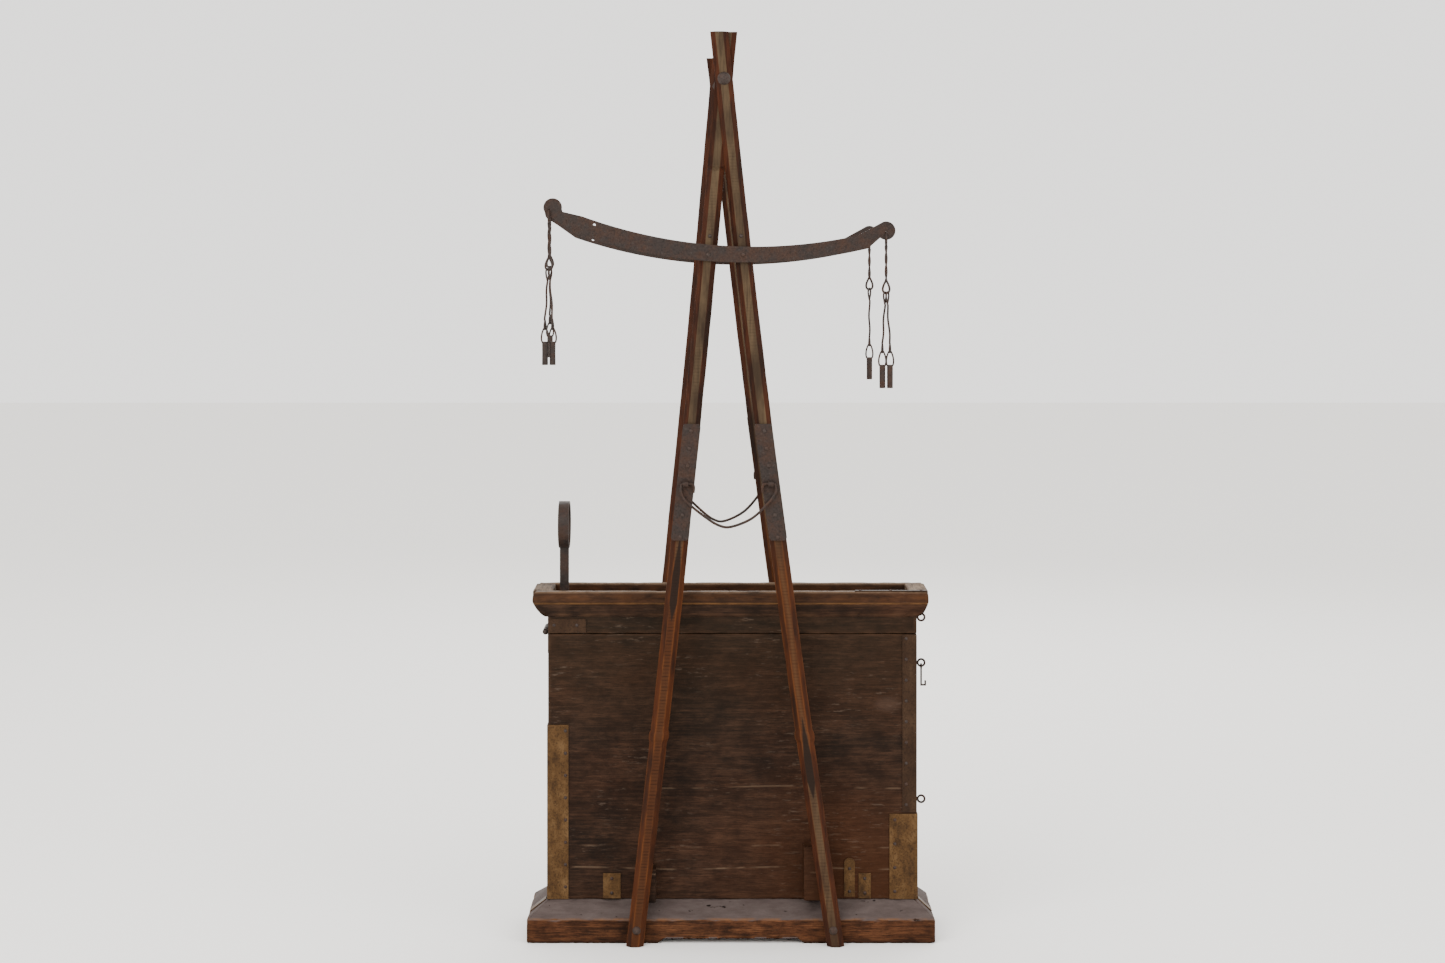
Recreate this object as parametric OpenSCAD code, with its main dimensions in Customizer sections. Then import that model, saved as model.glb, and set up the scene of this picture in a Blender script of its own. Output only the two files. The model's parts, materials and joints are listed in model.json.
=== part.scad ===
// A-frame hanging rack with a narrow wooden chest.
// Millimetres, +Z up, the front looks along -Y. The origin is under the middle of the plinth.

/* [Chest] */
// Width of the chest body
body_w = 485; // [300:1:800]
// Depth of the chest body
body_d = 87; // [60:1:200]
// Height of the body's top edge above the ground
body_top = 399.4; // [250:0.1:600]
// Body's offset to the right of the plinth's middle
body_dx = 2; // [-10:0.5:10]
// Thickness of the front and rear boards
board_t = 9; // [6:0.5:20]
// Thickness of the side boards
side_t = 10; // [6:0.5:20]
// Thickness of the chest floor
floor_t = 9; // [6:0.5:20]

/* [Plinth] */
// How far the plinth stands out at each side of the body
plinth_side = 24; // [12:0.5:60]
// How far the plinth stands out in front of and behind the body
plinth_step = 29.5; // [15:0.5:60]
// Height of the plinth's upright face
plinth_face_h = 31; // [15:1:60]
// Height of the bevel above the face
plinth_bevel_h = 20; // [8:1:50]
// Width of the plinth's top ledge inside the bevel
plinth_ledge = 13; // [10:1:30]
// Length of the bottom cut-out between the feet
foot_gap = 190; // [80:1:300]
// Height of the bottom cut-out
foot_cut_h = 7; // [3:0.5:20]

/* [Lid] */
// Gap at the seam between body and lid
seam_gap = 0.6; // [0.4:0.1:2]
// Height of the frieze below the cornice
frieze_h = 38.8; // [25:0.1:80]
// Height of the cornice's upright fascia
fascia_h = 17; // [8:0.5:40]
// Height of the moulding under the fascia
mould_h = 18; // [6:0.5:35]
// How far the rim stands out at each side of the body
rim_side = 18; // [10:0.5:40]
// How far the rim stands out in front of and behind the body
rim_step = 6.5; // [4:0.5:25]
// Thickness of the cornice boards at the top
rim_t = 14; // [8:0.5:25]
// Height of the tray floor above the lid's lower edge
tray_z = 12; // [5:0.5:30]
// Thickness of the tray floor
tray_t = 8; // [4:0.5:15]
// How far the lid opens
lid_open = 95; // [60:1:110]

/* [Frames] */
// Width of a pole
pole_w = 23; // [16:0.5:40]
// Thickness of a pole
pole_t = 20; // [14:0.5:36]
// Width of the flat band on a pole
band_w = 10; // [6:0.5:20]
// Straight edge left between the chamfers
pole_edge = 8; // [4:0.5:14]
// Height of the pole tops
pole_top = 1188; // [900:1:1600]
// Drop of the crossing below the pole tops
cross_drop = 61; // [30:1:120]
// Sideways place of the crossing
cross_x = -9; // [-40:1:40]
// Foot of the front-most pole, to the right
foot_right = 136; // [90:1:220]
// Foot of the other pole, to the left
foot_left = -125; // [-220:1:-90]
// Inward bow of the right pole at mid height
sag_right = 7; // [0:0.5:15]
// Inward bow of the left pole at mid height
sag_left = 4.5; // [0:0.5:15]
// Height of the raised knuckles
knuckle_z = 273; // [150:1:400]
// Shift of the rear frame to the left
rear_dx = -8; // [-30:1:30]
// How much shorter the rear poles are at the top
rear_short = 22; // [0:1:40]
// Length of a knuckle along the pole
knuckle_h = 13; // [6:1:30]
// How far a knuckle stands out
knuckle_out = 1.8; // [0.5:0.1:4]

/* [Bows] */
// Thickness of the forged bow
bow_t = 4; // [2:0.5:8]
// Height of the bow strap at its lowest point
bow_h = 20.5; // [10:0.5:30]
// Height of the bow strap near its left end
bow_h_left = 25; // [10:0.5:35]
// Height of the bow strap near its right end
bow_h_right = 19; // [10:0.5:35]
// Radius of the bow's curve
bow_r = 667; // [400:1:1200]
// Sideways place of the bow's lowest point
bow_x = 25; // [-60:1:60]
// Drop of the bow's lowest point below the crossing
bow_low = 228.5; // [150:0.5:400]
// Reach of the left disc from the lowest point
disc_left = 256; // [150:1:350]
// Reach of the right disc from the lowest point
disc_right = 176; // [120:1:350]
// Rise of the left disc over the lowest point
disc_left_rise = 61; // [30:1:110]
// Rise of the right disc over the lowest point
disc_right_rise = 31; // [20:1:110]
// Radius of the end discs
disc_r = 12; // [8:0.5:20]
// Radius of the pair of hanging holes
hole_r = 1.9; // [1:0.1:4]
// Spacing of the pair of hanging holes
hole_gap = 13.8; // [7:0.1:18]
// Sideways place of the hanging holes
hole_x = -177; // [-220:1:-100]
// Shift of the rear bow on its frame
rear_bow_dx = -3; // [-30:1:30]
// Drop of the rear bow
rear_bow_drop = 4; // [0:1:30]

/* [Hanging links] */
// Radius of the upper link's wire
wire_r = 1.5; // [0.8:0.1:3]
// Radius of the lower link's and pendant's wire
thin_r = 1.2; // [0.8:0.1:2.5]
// Running clearance of an eye or a pin, on the radius
fit = 0.08; // [0.03:0.01:0.1]
// Clearance between loose pieces
gap = 0.4; // [0.3:0.1:1]
// Drop from the front discs to the lower links
upper_front = 78; // [55:1:120]
// Drop from the rear discs to the lower links
upper_rear = 72; // [55:1:120]
// Drop from the upper link to the pendant
lower_drop = 74; // [40:1:120]
// Height of the pendant's wire loop
loop_h = 19; // [14:1:30]
// Outer radius of the pendant tube
tube_r = 3.9; // [3:0.1:6]
// Bore radius of the pendant tube
tube_bore = 2.6; // [1.5:0.1:5]
// Length of the pendant tube
tube_h = 30; // [18:1:50]
// Depth of the bore from below
tube_bore_h = 24; // [10:1:45]

/* [Splice plates and bails] */
// Thickness of the splice plates
plate_t = 3; // [1.5:0.5:6]
// Height of the splice plates' lower end
plate_z0 = 528; // [400:1:700]
// Length of the splice plates
plate_l = 151; // [100:1:250]
// Height of the bail's pivot above the plates' lower end
bail_up = 73.5; // [30:0.5:150]
// Radius of the bail's wire
bail_r = 1.75; // [1:0.05:3]
// Outer radius of the lug that carries the bail
lug_r = 4.2; // [3:0.1:7]
// Length of the lug
lug_l = 7; // [4:0.5:15]
// Drop of the front bail below its pivot
bail_drop = 55; // [25:1:100]
// Drop of the rear bail below its pivot
rear_bail_drop = 68; // [25:1:100]

/* [Fittings] */
// Thickness of the thin repair straps
strap_t = 1.2; // [0.8:0.1:3]
// Radius of the hinge knuckles
knuckle_r = 4; // [3:0.1:6]
// Radius of the hinge pin
pin_r = 1.6; // [1:0.1:2.5]
// Length of the hinge along the seam
hinge_l = 50; // [30:1:80]
// Centre radius of the side eyes
eye_r = 4.6; // [3.5:0.1:8]
// Radius of the eye's wire
eye_wire = 1.4; // [0.8:0.1:2.5]
// Height of the lid's eye above the lid's lower edge
lid_eye_up = 15.5; // [8:0.5:30]
// Drop of the hook's eye below the body's top
hook_eye_drop = 44.4; // [15:0.1:90]
// Height of the lower eye
low_eye_z = 173.6; // [120:1:260]
// Outer radius of the loop on the lifting handle
loop_r = 31; // [20:1:45]
// Thickness of the handle strap
handle_t = 3; // [2:0.5:5]
// Width of the handle strap
handle_w = 14; // [8:0.5:25]
// Height of the loop's centre above the rim
loop_up = 83.2; // [50:0.1:160]

/* [Hidden] */
$fn = 48;
over = 1;                                   // a cut's overshoot
body_x0 = body_dx - body_w / 2;
body_x1 = body_dx + body_w / 2;
body_z0 = plinth_face_h + plinth_bevel_h;   // the body stands on the plinth
lid_z0 = body_top + seam_gap;
frieze_z1 = lid_z0 + frieze_h;
rim_z1 = frieze_z1 + fascia_h;
plinth_w = body_w + 2 * plinth_side;
plinth_d = body_d + 2 * plinth_step;
rim_w = body_w + 2 * rim_side;
rim_d = body_d + 2 * rim_step;
tray_z1 = lid_z0 + tray_z + tray_t;
rim_shift = -2.5;                           // the rim sits a little to the left on the body
rim_x = body_dx + rim_shift;
rim_x0 = rim_x - rim_w / 2;
rim_x1 = rim_x + rim_w / 2;

// Hinge axis, outside the left face at the seam
leaf_t = 1.5;
hinge_x = body_x0 - leaf_t - knuckle_r + 1;
hinge_z = body_top + seam_gap / 2;
leaf_h = 28;
lid_leaf_h = 20;

lid_eye_z = lid_z0 + lid_eye_up;
hook_eye_z = body_top - hook_eye_drop;
loop_z = rim_z1 + loop_up;

// Frames: the poles stand against the plinth's faces
frame_y = plinth_d / 2 + pole_t / 2;        // a frame's middle plane
cross_z = pole_top - cross_drop;
bow_z = cross_z - bow_low;
plate_z1 = plate_z0 + plate_l;
bail_z = plate_z0 + bail_up;

// Bolts
bolt_r = 4;
bolt_head_r = 8.5;
bolt_head_h = 6;
foot_bolt_r = 2.6;
foot_head_r = 5.5;
foot_head_h = 3.5;
foot_bolt_z = 22;
foot_bolt_in = 18;                          // depth in the plinth
nut_af = 14;
nut_h = 5;
rivet_r = 1.6;
rivet_head_r = 3.2;
rivet_head_h = 2;
rivet_in = 10;                              // depth in the pole
nail_r = 1;
nail_head_r = 2.6;
nail_head_h = 1.4;
nail_in = 6;
tack_r = 2.2;
tack_h = 1.2;

pole_out = frame_y + pole_t / 2;            // outer face of the poles
bow_face = pole_out + bow_t;                // outer face of the bow
bow_mid = pole_out + bow_t / 2;             // the links hang in this plane
plate_face = pole_out + plate_t;
bail_y = plate_face + lug_r - 0.4;          // the bail's pivot

/* ---------- helpers ---------- */

module block(x0, x1, y0, y1, z0, z1) {
    translate([x0, y0, z0]) cube([x1 - x0, y1 - y0, z1 - z0]);
}

// Straight round bar between two points
module rod(p, q, r) {
    d = q - p;
    translate(p)
        rotate([0, acos(d[2] / norm(d)), atan2(d[1], d[0])])
            cylinder(h = norm(d), r = r, $fn = 24);
}

// Bent wire through points [x, z]; a slightly fuller ball fills each corner
module bent_wire(pts, r) {
    p = [for (q = pts) [q[0], 0, q[1]]];
    for (i = [0 : len(p) - 2]) rod(p[i], p[i + 1], r);
    for (i = [1 : len(p) - 2]) translate(p[i]) sphere(r = r + corner, $fn = 24);
}
corner = 0.12;

// Closed wire loop through a list of points
module wire_loop(pts, r) {
    n = len(pts);
    for (i = [0 : n - 1]) {
        rod(pts[i], pts[(i + 1) % n], r);
        translate(pts[i]) sphere(r = r + corner, $fn = 24);
    }
}

// Cylinder along +Y from y0 to y1 at (x, z)
module y_cyl(x, z, y0, y1, r) {
    translate([x, y0, z]) rotate([-90, 0, 0]) cylinder(h = y1 - y0, r = r);
}

// Domed head that looks along -Y and sits on the plane y
module y_dome(x, z, y, r, h) {
    ball = (r * r + h * h) / (2 * h);
    translate([x, y, z]) rotate([90, 0, 0])
        rotate_extrude()
            intersection() {
                translate([0, h - ball]) circle(r = ball, $fn = 64);
                square([r, h]);
            }
}

// Outline in XZ pushed through the depth y0..y1
module xz_prism(pts, y0, y1) {
    translate([0, y1, 0]) rotate([90, 0, 0]) linear_extrude(y1 - y0) polygon(pts);
}

// Outline in YZ pushed through the width x0..x1
module yz_prism(pts, x0, x1) {
    translate([x0, 0, 0]) rotate([90, 0, 90]) linear_extrude(x1 - x0) polygon(pts);
}

/* ---------- chest body ---------- */

module front_panel() {
    color("#4a3226") block(body_x0, body_x1, -body_d / 2, -body_d / 2 + board_t, body_z0, body_top);
}

module rear_panel() {
    color("#47301f") mirror([0, 1, 0])
        block(body_x0, body_x1, -body_d / 2, -body_d / 2 + board_t, body_z0, body_top);
}

// One side board between the front and rear boards
module side_wall(x0) {
    block(x0, x0 + side_t, -body_d / 2 + board_t, body_d / 2 - board_t, body_z0, body_top);
}

module side_walls() {
    color("#523829") difference() {
        union() {
            side_wall(body_x0);
            side_wall(body_x1 - side_t);
        }
        for (z = [hook_eye_z, low_eye_z]) eye_shank(z);
    }
}

module chest_floor() {
    color("#3d2a20")
        block(body_x0 + side_t, body_x1 - side_t, -body_d / 2 + board_t, body_d / 2 - board_t,
              body_z0, body_z0 + floor_t);
}

/* ---------- plinth ---------- */

// Solid bevelled block, before it is split into boards
module plinth_block() {
    h = plinth_w / 2;
    d = plinth_d / 2;
    intersection() {
        xz_prism([[-h, 0], [h, 0], [h, plinth_face_h], [body_x1, body_z0], [body_x0, body_z0],
                  [-h, plinth_face_h]], -d, d);
        yz_prism([[-d, 0], [d, 0], [d, plinth_face_h], [body_d / 2, body_z0],
                  [-body_d / 2, body_z0], [-d, plinth_face_h]], -h, h);
    }
}

plinth_in_y = body_d / 2 - plinth_ledge;    // inner face of the long boards
plinth_in_x0 = body_x0 + plinth_ledge;
plinth_in_x1 = body_x1 - plinth_ledge;

module plinth_long(shift = 0) {
    difference() {
        intersection() {
            plinth_block();
            // mitred at the corners
            translate([0, 0, -over]) linear_extrude(body_z0 + 2 * over)
                polygon([[-plinth_w / 2, -plinth_d / 2], [plinth_w / 2, -plinth_d / 2],
                         [plinth_in_x1, -plinth_in_y], [plinth_in_x0, -plinth_in_y]]);
        }
        xz_prism([[-foot_gap / 2, -over], [foot_gap / 2, -over], [foot_gap / 2, 0],
                  [foot_gap / 2 - foot_cut_h, foot_cut_h], [-foot_gap / 2 + foot_cut_h, foot_cut_h],
                  [-foot_gap / 2, 0]], -plinth_d, 0);
        for (x = [foot_bolt_x(foot_right, sag_right), foot_bolt_x(foot_left, sag_left)])
            y_cyl(x + shift, foot_bolt_z, -plinth_d / 2 - over, -plinth_d / 2 + foot_bolt_in,
                  foot_bolt_r);
    }
}

module plinth_front() {
    color("#6b5548") plinth_long();
}

module plinth_rear() {
    color("#665043") mirror([0, 1, 0]) plinth_long(rear_dx);
}

module plinth_ends() {
    color("#5d493d") intersection() {
        plinth_block();
        translate([0, 0, -over]) linear_extrude(body_z0 + 2 * over) {
            polygon([[-plinth_w / 2, -plinth_d / 2], [plinth_in_x0, -plinth_in_y],
                     [plinth_in_x0, plinth_in_y], [-plinth_w / 2, plinth_d / 2]]);
            polygon([[plinth_w / 2, -plinth_d / 2], [plinth_in_x1, -plinth_in_y],
                     [plinth_in_x1, plinth_in_y], [plinth_w / 2, plinth_d / 2]]);
        }
    }
}

// Thin straps that lie on the end bevels near the front corners
strap_w = 16;
strap_in = 6;                               // kept back from the mitre
module bevel_strap(side) {
    edge = side > 0 ? body_x1 : body_x0;
    foot = side * plinth_w / 2;
    run = foot - edge;
    slope = norm([run, plinth_bevel_h]);
    n = [plinth_bevel_h, abs(run)] / slope * strap_t;
    xz_prism([[edge + run * 0.1, body_z0 - plinth_bevel_h * 0.1],
              [edge + run * 0.9, body_z0 - plinth_bevel_h * 0.9],
              [edge + run * 0.9 + side * n[0], body_z0 - plinth_bevel_h * 0.9 + n[1]],
              [edge + run * 0.1 + side * n[0], body_z0 - plinth_bevel_h * 0.1 + n[1]]],
             -body_d / 2 + strap_in, -body_d / 2 + strap_in + strap_w);
}

module plinth_straps() {
    color("#8c7a5c") for (side = [-1, 1]) bevel_strap(side);
}

/* ---------- lid: frieze, cornice and tray ---------- */

module frieze_long() {
    block(body_x0, body_x1, -body_d / 2, -body_d / 2 + board_t, lid_z0, frieze_z1);
}

module frieze_front() {
    color("#4d3427") frieze_long();
}

module frieze_rear() {
    color("#493123") mirror([0, 1, 0]) frieze_long();
}

module frieze_ends() {
    color("#573b2b") difference() {
        for (x0 = [body_x0, body_x1 - side_t])
            block(x0, x0 + side_t, -body_d / 2 + board_t, body_d / 2 - board_t, lid_z0, frieze_z1);
        eye_shank(lid_eye_z);
    }
}

// Closed outline of the cornice before it is split: fascia above, chamfer below
module cornice_block() {
    z0 = frieze_z1 - mould_h;
    d = rim_d / 2;
    b = body_d / 2;
    intersection() {
        xz_prism([[body_x0, z0], [body_x0 - 8, z0 + 4], [rim_x0, frieze_z1], [rim_x0, rim_z1],
                  [rim_x1, rim_z1], [rim_x1, frieze_z1], [body_x1 + 8, z0 + 4], [body_x1, z0]],
                 -d, d);
        yz_prism([[-b, z0], [-b - 2, z0 + 4], [-d, frieze_z1], [-d, rim_z1],
                  [d, rim_z1], [d, frieze_z1], [b + 2, z0 + 4], [b, z0]],
                 rim_x0, rim_x1);
    }
}

// The room that the frieze boards and the tray take
module lid_core() {
    block(body_x0, body_x1, -body_d / 2, body_d / 2, lid_z0 - over, frieze_z1);
    block(rim_x0 + rim_end, rim_x1 - rim_end, -rim_d / 2 + rim_t, rim_d / 2 - rim_t,
          lid_z0, rim_z1 + over);
}
rim_end = rim_t + 12;                       // thickness of the cornice's end boards

module cornice_long() {
    difference() {
        intersection() {
            cornice_block();
            block(rim_x0, rim_x1, -rim_d / 2, -rim_d / 2 + rim_t, lid_z0, rim_z1);
        }
        lid_core();
    }
}

module cornice_front() {
    color("#5a3d2c") cornice_long();
}

module cornice_rear() {
    color("#543826") mirror([0, 1, 0]) cornice_long();
}

module cornice_ends() {
    color("#7d6650") difference() {
        intersection() {
            cornice_block();
            block(rim_x0, rim_x1, -rim_d / 2 + rim_t, rim_d / 2 - rim_t, lid_z0, rim_z1);
        }
        lid_core();
    }
}

module tray_floor() {
    color("#352419")
        difference() {
            block(body_x0 + side_t, body_x1 - side_t, -body_d / 2 + board_t, body_d / 2 - board_t,
                  lid_z0 + tray_z, tray_z1);
            for (s = [-1, 1])
                translate([handle_x, s * handle_rivet_y, tray_z1 - tray_t - over])
                    cylinder(h = tray_t + 2 * over, r = rivet_r);
        }
}

// Thin straps on the lid: one on the frieze, one on the rim
module lid_straps() {
    color("#8a7350") {
        block(body_x0 + 1, body_x0 + 50, -body_d / 2 - strap_t, -body_d / 2, lid_z0 + 1, lid_z0 + 19);
        block(rim_x1 - 97, rim_x1 - 2, -rim_d / 2 + 1, -rim_d / 2 + 9, rim_z1, rim_z1 + strap_t);
    }
}

module lid_tacks() {
    color("#5e5248") {
        for (x = [body_x0 + 8, body_x0 + 38])
            y_dome(x, lid_z0 + 11, -body_d / 2 - strap_t, tack_r, tack_h);
        for (x = [rim_x1 - 90, rim_x1 - 50, rim_x1 - 10])
            translate([x, -rim_d / 2 + 5, rim_z1 + strap_t])
                rotate([-90, 0, 0]) y_dome(0, 0, 0, tack_r, tack_h);
    }
}

/* ---------- lifting handle ---------- */

handle_x = body_x0 + side_t + handle_w / 2 + 2;
handle_foot = 20;                           // length of each foot on the tray floor
handle_rivet_y = handle_t + 12;

module loop_handle() {
    z1 = loop_z - loop_r + handle_t / 2;
    color("#4c4038") difference() {
        union() {
            // two layers of strap that open into a loop
            block(handle_x - handle_w / 2 + 1, handle_x + handle_w / 2 - 1, -handle_t, handle_t,
                  tray_z1, z1);
            translate([handle_x - handle_w / 2, 0, loop_z]) rotate([0, 90, 0])
                difference() {
                    cylinder(h = handle_w, r = loop_r);
                    translate([0, 0, -over]) cylinder(h = handle_w + 2 * over, r = loop_r - handle_t);
                }
            block(handle_x - handle_w / 2 + 1, handle_x + handle_w / 2 - 1,
                  -handle_t - handle_foot, handle_t + handle_foot, tray_z1, tray_z1 + handle_t);
        }
        for (s = [-1, 1])
            translate([handle_x, s * handle_rivet_y, tray_z1 - over])
                cylinder(h = handle_t + 2 * over, r = rivet_r);
    }
}

module handle_rivets() {
    color("#6b5f55") for (s = [-1, 1]) translate([handle_x, s * handle_rivet_y, 0]) {
        translate([0, 0, tray_z1 - tray_t]) cylinder(h = tray_t + handle_t, r = rivet_r);
        translate([0, 0, tray_z1 + handle_t]) rotate([-90, 0, 0])
            y_dome(0, 0, 0, rivet_head_r, rivet_head_h);
    }
}

/* ---------- hinge at the left end of the seam ---------- */

knuckle_l = hinge_l / 5;
knuckle_gap = 0.35;                         // side play between the knuckles

module hinge_knuckle(i, bore) {
    y0 = -hinge_l / 2 + i * knuckle_l;
    difference() {
        y_cyl(hinge_x, hinge_z, y0 + knuckle_gap / 2, y0 + knuckle_l - knuckle_gap / 2, knuckle_r);
        y_cyl(hinge_x, hinge_z, y0 - over, y0 + knuckle_l + over, bore);
    }
}

// Clears a leaf of the other leaf's knuckles
module knuckle_room(i) {
    y0 = -hinge_l / 2 + i * knuckle_l;
    y_cyl(hinge_x, hinge_z, y0 - knuckle_gap / 2, y0 + knuckle_l + knuckle_gap / 2, knuckle_r + gap);
}

module lid_hinge_leaf() {
    color("#57493d") {
        difference() {
            block(body_x0 - leaf_t, body_x0, -hinge_l / 2, hinge_l / 2,
                  hinge_z + 1.2, hinge_z + lid_leaf_h);
            for (i = [0, 2, 4]) knuckle_room(i);
            y_cyl(hinge_x, hinge_z, -hinge_l, hinge_l, pin_r + fit);
        }
        for (i = [1, 3]) hinge_knuckle(i, pin_r + fit);
    }
}

module body_hinge_leaf() {
    color("#4f4238") {
        difference() {
            block(body_x0 - leaf_t, body_x0, -hinge_l / 2, hinge_l / 2,
                  hinge_z - leaf_h, hinge_z - 1.2);
            for (i = [1, 3]) knuckle_room(i);
            y_cyl(hinge_x, hinge_z, -hinge_l, hinge_l, pin_r);
        }
        for (i = [0, 2, 4]) hinge_knuckle(i, pin_r);
    }
}

module hinge_pin() {
    color("#8d8378") {
        y_cyl(hinge_x, hinge_z, -hinge_l / 2, hinge_l / 2, pin_r);
        y_dome(hinge_x, hinge_z, -hinge_l / 2, knuckle_r - 1, 1.5);
    }
}

/* ---------- eyes and latch hook on the right side ---------- */

eye_out = 9;                                // the eye's centre stands off the side
eye_x = body_x1 + eye_out;
eye_in = 6;                                 // depth of the shank in the board

module eye_shank(z) {
    translate([body_x1 - eye_in, 0, z]) rotate([0, 90, 0])
        cylinder(h = eye_in + eye_out - eye_r, r = eye_wire, $fn = 24);
}

module eye(z) {
    eye_shank(z);
    translate([eye_x, 0, z]) rotate([90, 0, 0])
        rotate_extrude() translate([eye_r, 0]) circle(r = eye_wire, $fn = 24);
}

module lid_eye() {
    color("#5b5047") eye(lid_eye_z);
}

module body_eyes() {
    color("#5b5047") {
        eye(hook_eye_z);
        eye(low_eye_z);
    }
}

// The hook's ring closes round the eye's wire at its lowest point
hook_ring = eye_wire + thin_r + fit;
hook_drop = 22;
module latch_hook() {
    z = hook_eye_z - eye_r;
    color("#7a6c5e") {
        translate([eye_x, 0, z]) rotate([0, 90, 0])
            rotate_extrude() translate([hook_ring, 0]) circle(r = thin_r, $fn = 24);
        translate([eye_x, 0, z - hook_ring - 0.4])
            bent_wire([[0, 0], [0, -hook_drop], [5.5, -hook_drop], [5.5, -hook_drop + 6]],
                      thin_r);
    }
}

/* ---------- thin metal on the body ---------- */

body_y = -body_d / 2;                       // the body's front face
brass_h = 229;                              // height of the left corner strap
right_brass_h = 112;
strip_bottom = right_brass_h + 2;

module left_corner_strap() {
    color("#8f7443") {
        block(body_x0, body_x0 + 27, body_y - strap_t, body_y, body_z0, body_z0 + brass_h);
        block(body_x0 - strap_t, body_x0, body_y - strap_t, body_y + 22, body_z0, body_z0 + brass_h);
    }
}

module right_corner_strap() {
    color("#87704a") {
        block(body_x1 - 36, body_x1, body_y - strap_t, body_y, body_z0, body_z0 + right_brass_h);
        block(body_x1, body_x1 + strap_t, body_y - strap_t, body_y + 22,
              body_z0, body_z0 + right_brass_h);
    }
}

module right_edge_strip() {
    color("#5a4234")
        block(body_x1 - 19, body_x1, body_y - strap_t, body_y, body_z0 + strip_bottom, body_top - 1);
}

// Three small plates near the bottom edge: left edge, width, lower and upper end above the plinth
small_plates = [[body_x0 + 72.5, 23, 1, 34], [body_x1 - 95.5, 14, 3, 47], [body_x1 - 76.5, 16, 1, 34]];
module repair_plates() {
    color("#6f5c42") {
        for (p = small_plates)
            block(p[0], p[0] + p[1], body_y - strap_t, body_y, body_z0 + p[2], body_z0 + p[3]);
        tall = small_plates[1];                 // has a round top
        y_cyl(tall[0] + tall[1] / 2, body_z0 + tall[3], body_y - strap_t, body_y, tall[1] / 2);
    }
}

module front_tack(x, z) {
    y_dome(x, z, body_y - strap_t, tack_r, tack_h);
}

module body_tacks() {
    color("#5c4f42") {
        for (i = [0 : 7]) front_tack(body_x0 + 23, body_z0 + 16 + i * (brass_h - 24) / 7);
        for (i = [0 : 3]) front_tack(body_x1 - 29, body_z0 + 10 + i * (right_brass_h - 18) / 3);
        for (i = [0 : 8]) front_tack(body_x1 - 14, body_z0 + strip_bottom + 10 +
                                     i * (body_top - body_z0 - strip_bottom - 16) / 8);
        for (p = small_plates, z = [p[2] + 7, p[3] - 7])
            front_tack(p[0] + p[1] / 2, body_z0 + z);
    }
}

/* ---------- poles ---------- */

// Middle of a pole at height z; side is the sign of its foot
function pole_x(z, foot, sag) =
    let (t = (cross_z - z) / cross_z, s = sign(foot), run = foot - cross_x)
    z >= cross_z ? cross_x + (run - s * sag * 4) * t
                 : cross_x + run * t - s * sag * 4 * t * (1 - t);

function foot_bolt_x(foot, sag) = pole_x(foot_bolt_z, foot, sag);

// Eight-sided section of a pole, with a flat band in front and behind
function pole_section(fuller) =
    let (w = pole_w / 2, t = pole_t / 2, b = band_w / 2, e = pole_edge / 2)
    fuller * [[-b, -t], [b, -t], [w, -e], [w, e], [b, t], [-b, t], [-w, e], [-w, -e]];

// Heights where a pole bends or swells, with how full it is there
pole_foot = 0.5;
knuckle_fuller = 1 + 2 * knuckle_out / pole_w;
top_fuller = 1.06;
kinks = [0.12, 0.36, 0.47, 0.6, 0.74, 0.87];     // shares of the crossing height
function pole_levels(top) = concat(
    [[pole_foot, 1], [kinks[0] * cross_z, 1],
     [knuckle_z - knuckle_h / 2, 1], [knuckle_z - knuckle_h / 4, knuckle_fuller],
     [knuckle_z + knuckle_h / 4, knuckle_fuller], [knuckle_z + knuckle_h / 2, 1]],
    [for (i = [1 : len(kinks) - 1]) [kinks[i] * cross_z, 1]],
    [[cross_z, 1], [cross_z + bolt_head_r + 2, 1], [top, top_fuller]]);

// The same section at every level, moved along the bowed middle line, so every side is flat
module pole_whole(foot, sag, top) {
    n = 8;
    levels = pole_levels(top);
    m = len(levels);
    pts = [for (l = levels) for (q = pole_section(l[1]))
           [pole_x(l[0], foot, sag) + q[0], -frame_y + q[1], l[0]]];
    sides = [for (k = [0 : m - 2]) for (i = [0 : n - 1])
             [k * n + i, (k + 1) * n + i, (k + 1) * n + (i + 1) % n, k * n + (i + 1) % n]];
    polyhedron(pts, concat([[for (i = [0 : n - 1]) i]], sides,
                           [[for (i = [n - 1 : -1 : 0]) (m - 1) * n + i]]), convexity = 4);
}

// Keeps the outer (-1) or inner (+1) half of a frame
module frame_half(side) {
    y0 = side < 0 ? -frame_y - pole_t : -frame_y;
    block(-plinth_w, plinth_w, y0, y0 + pole_t, -over, pole_top + over);
}

// The right pole passes in front of the left one; each gives up half where they cross
module right_pole(top) {
    difference() {
        pole_whole(foot_right, sag_right, top);
        intersection() {
            pole_whole(foot_left, sag_left, top);
            frame_half(1);
        }
        frame_holes();
    }
}

module left_pole(top) {
    difference() {
        pole_whole(foot_left, sag_left, top);
        intersection() {
            pole_whole(foot_right, sag_right, top);
            frame_half(-1);
        }
        frame_holes();
    }
}

// Where rivets go on a splice plate, as shares of its height
plate_rivets = [0.03, 0.22, 0.64, 0.79, 0.94];
function plate_at(share) = plate_z0 + share * (plate_z1 - plate_z0);

bow_rivet_z = bow_z;

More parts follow.
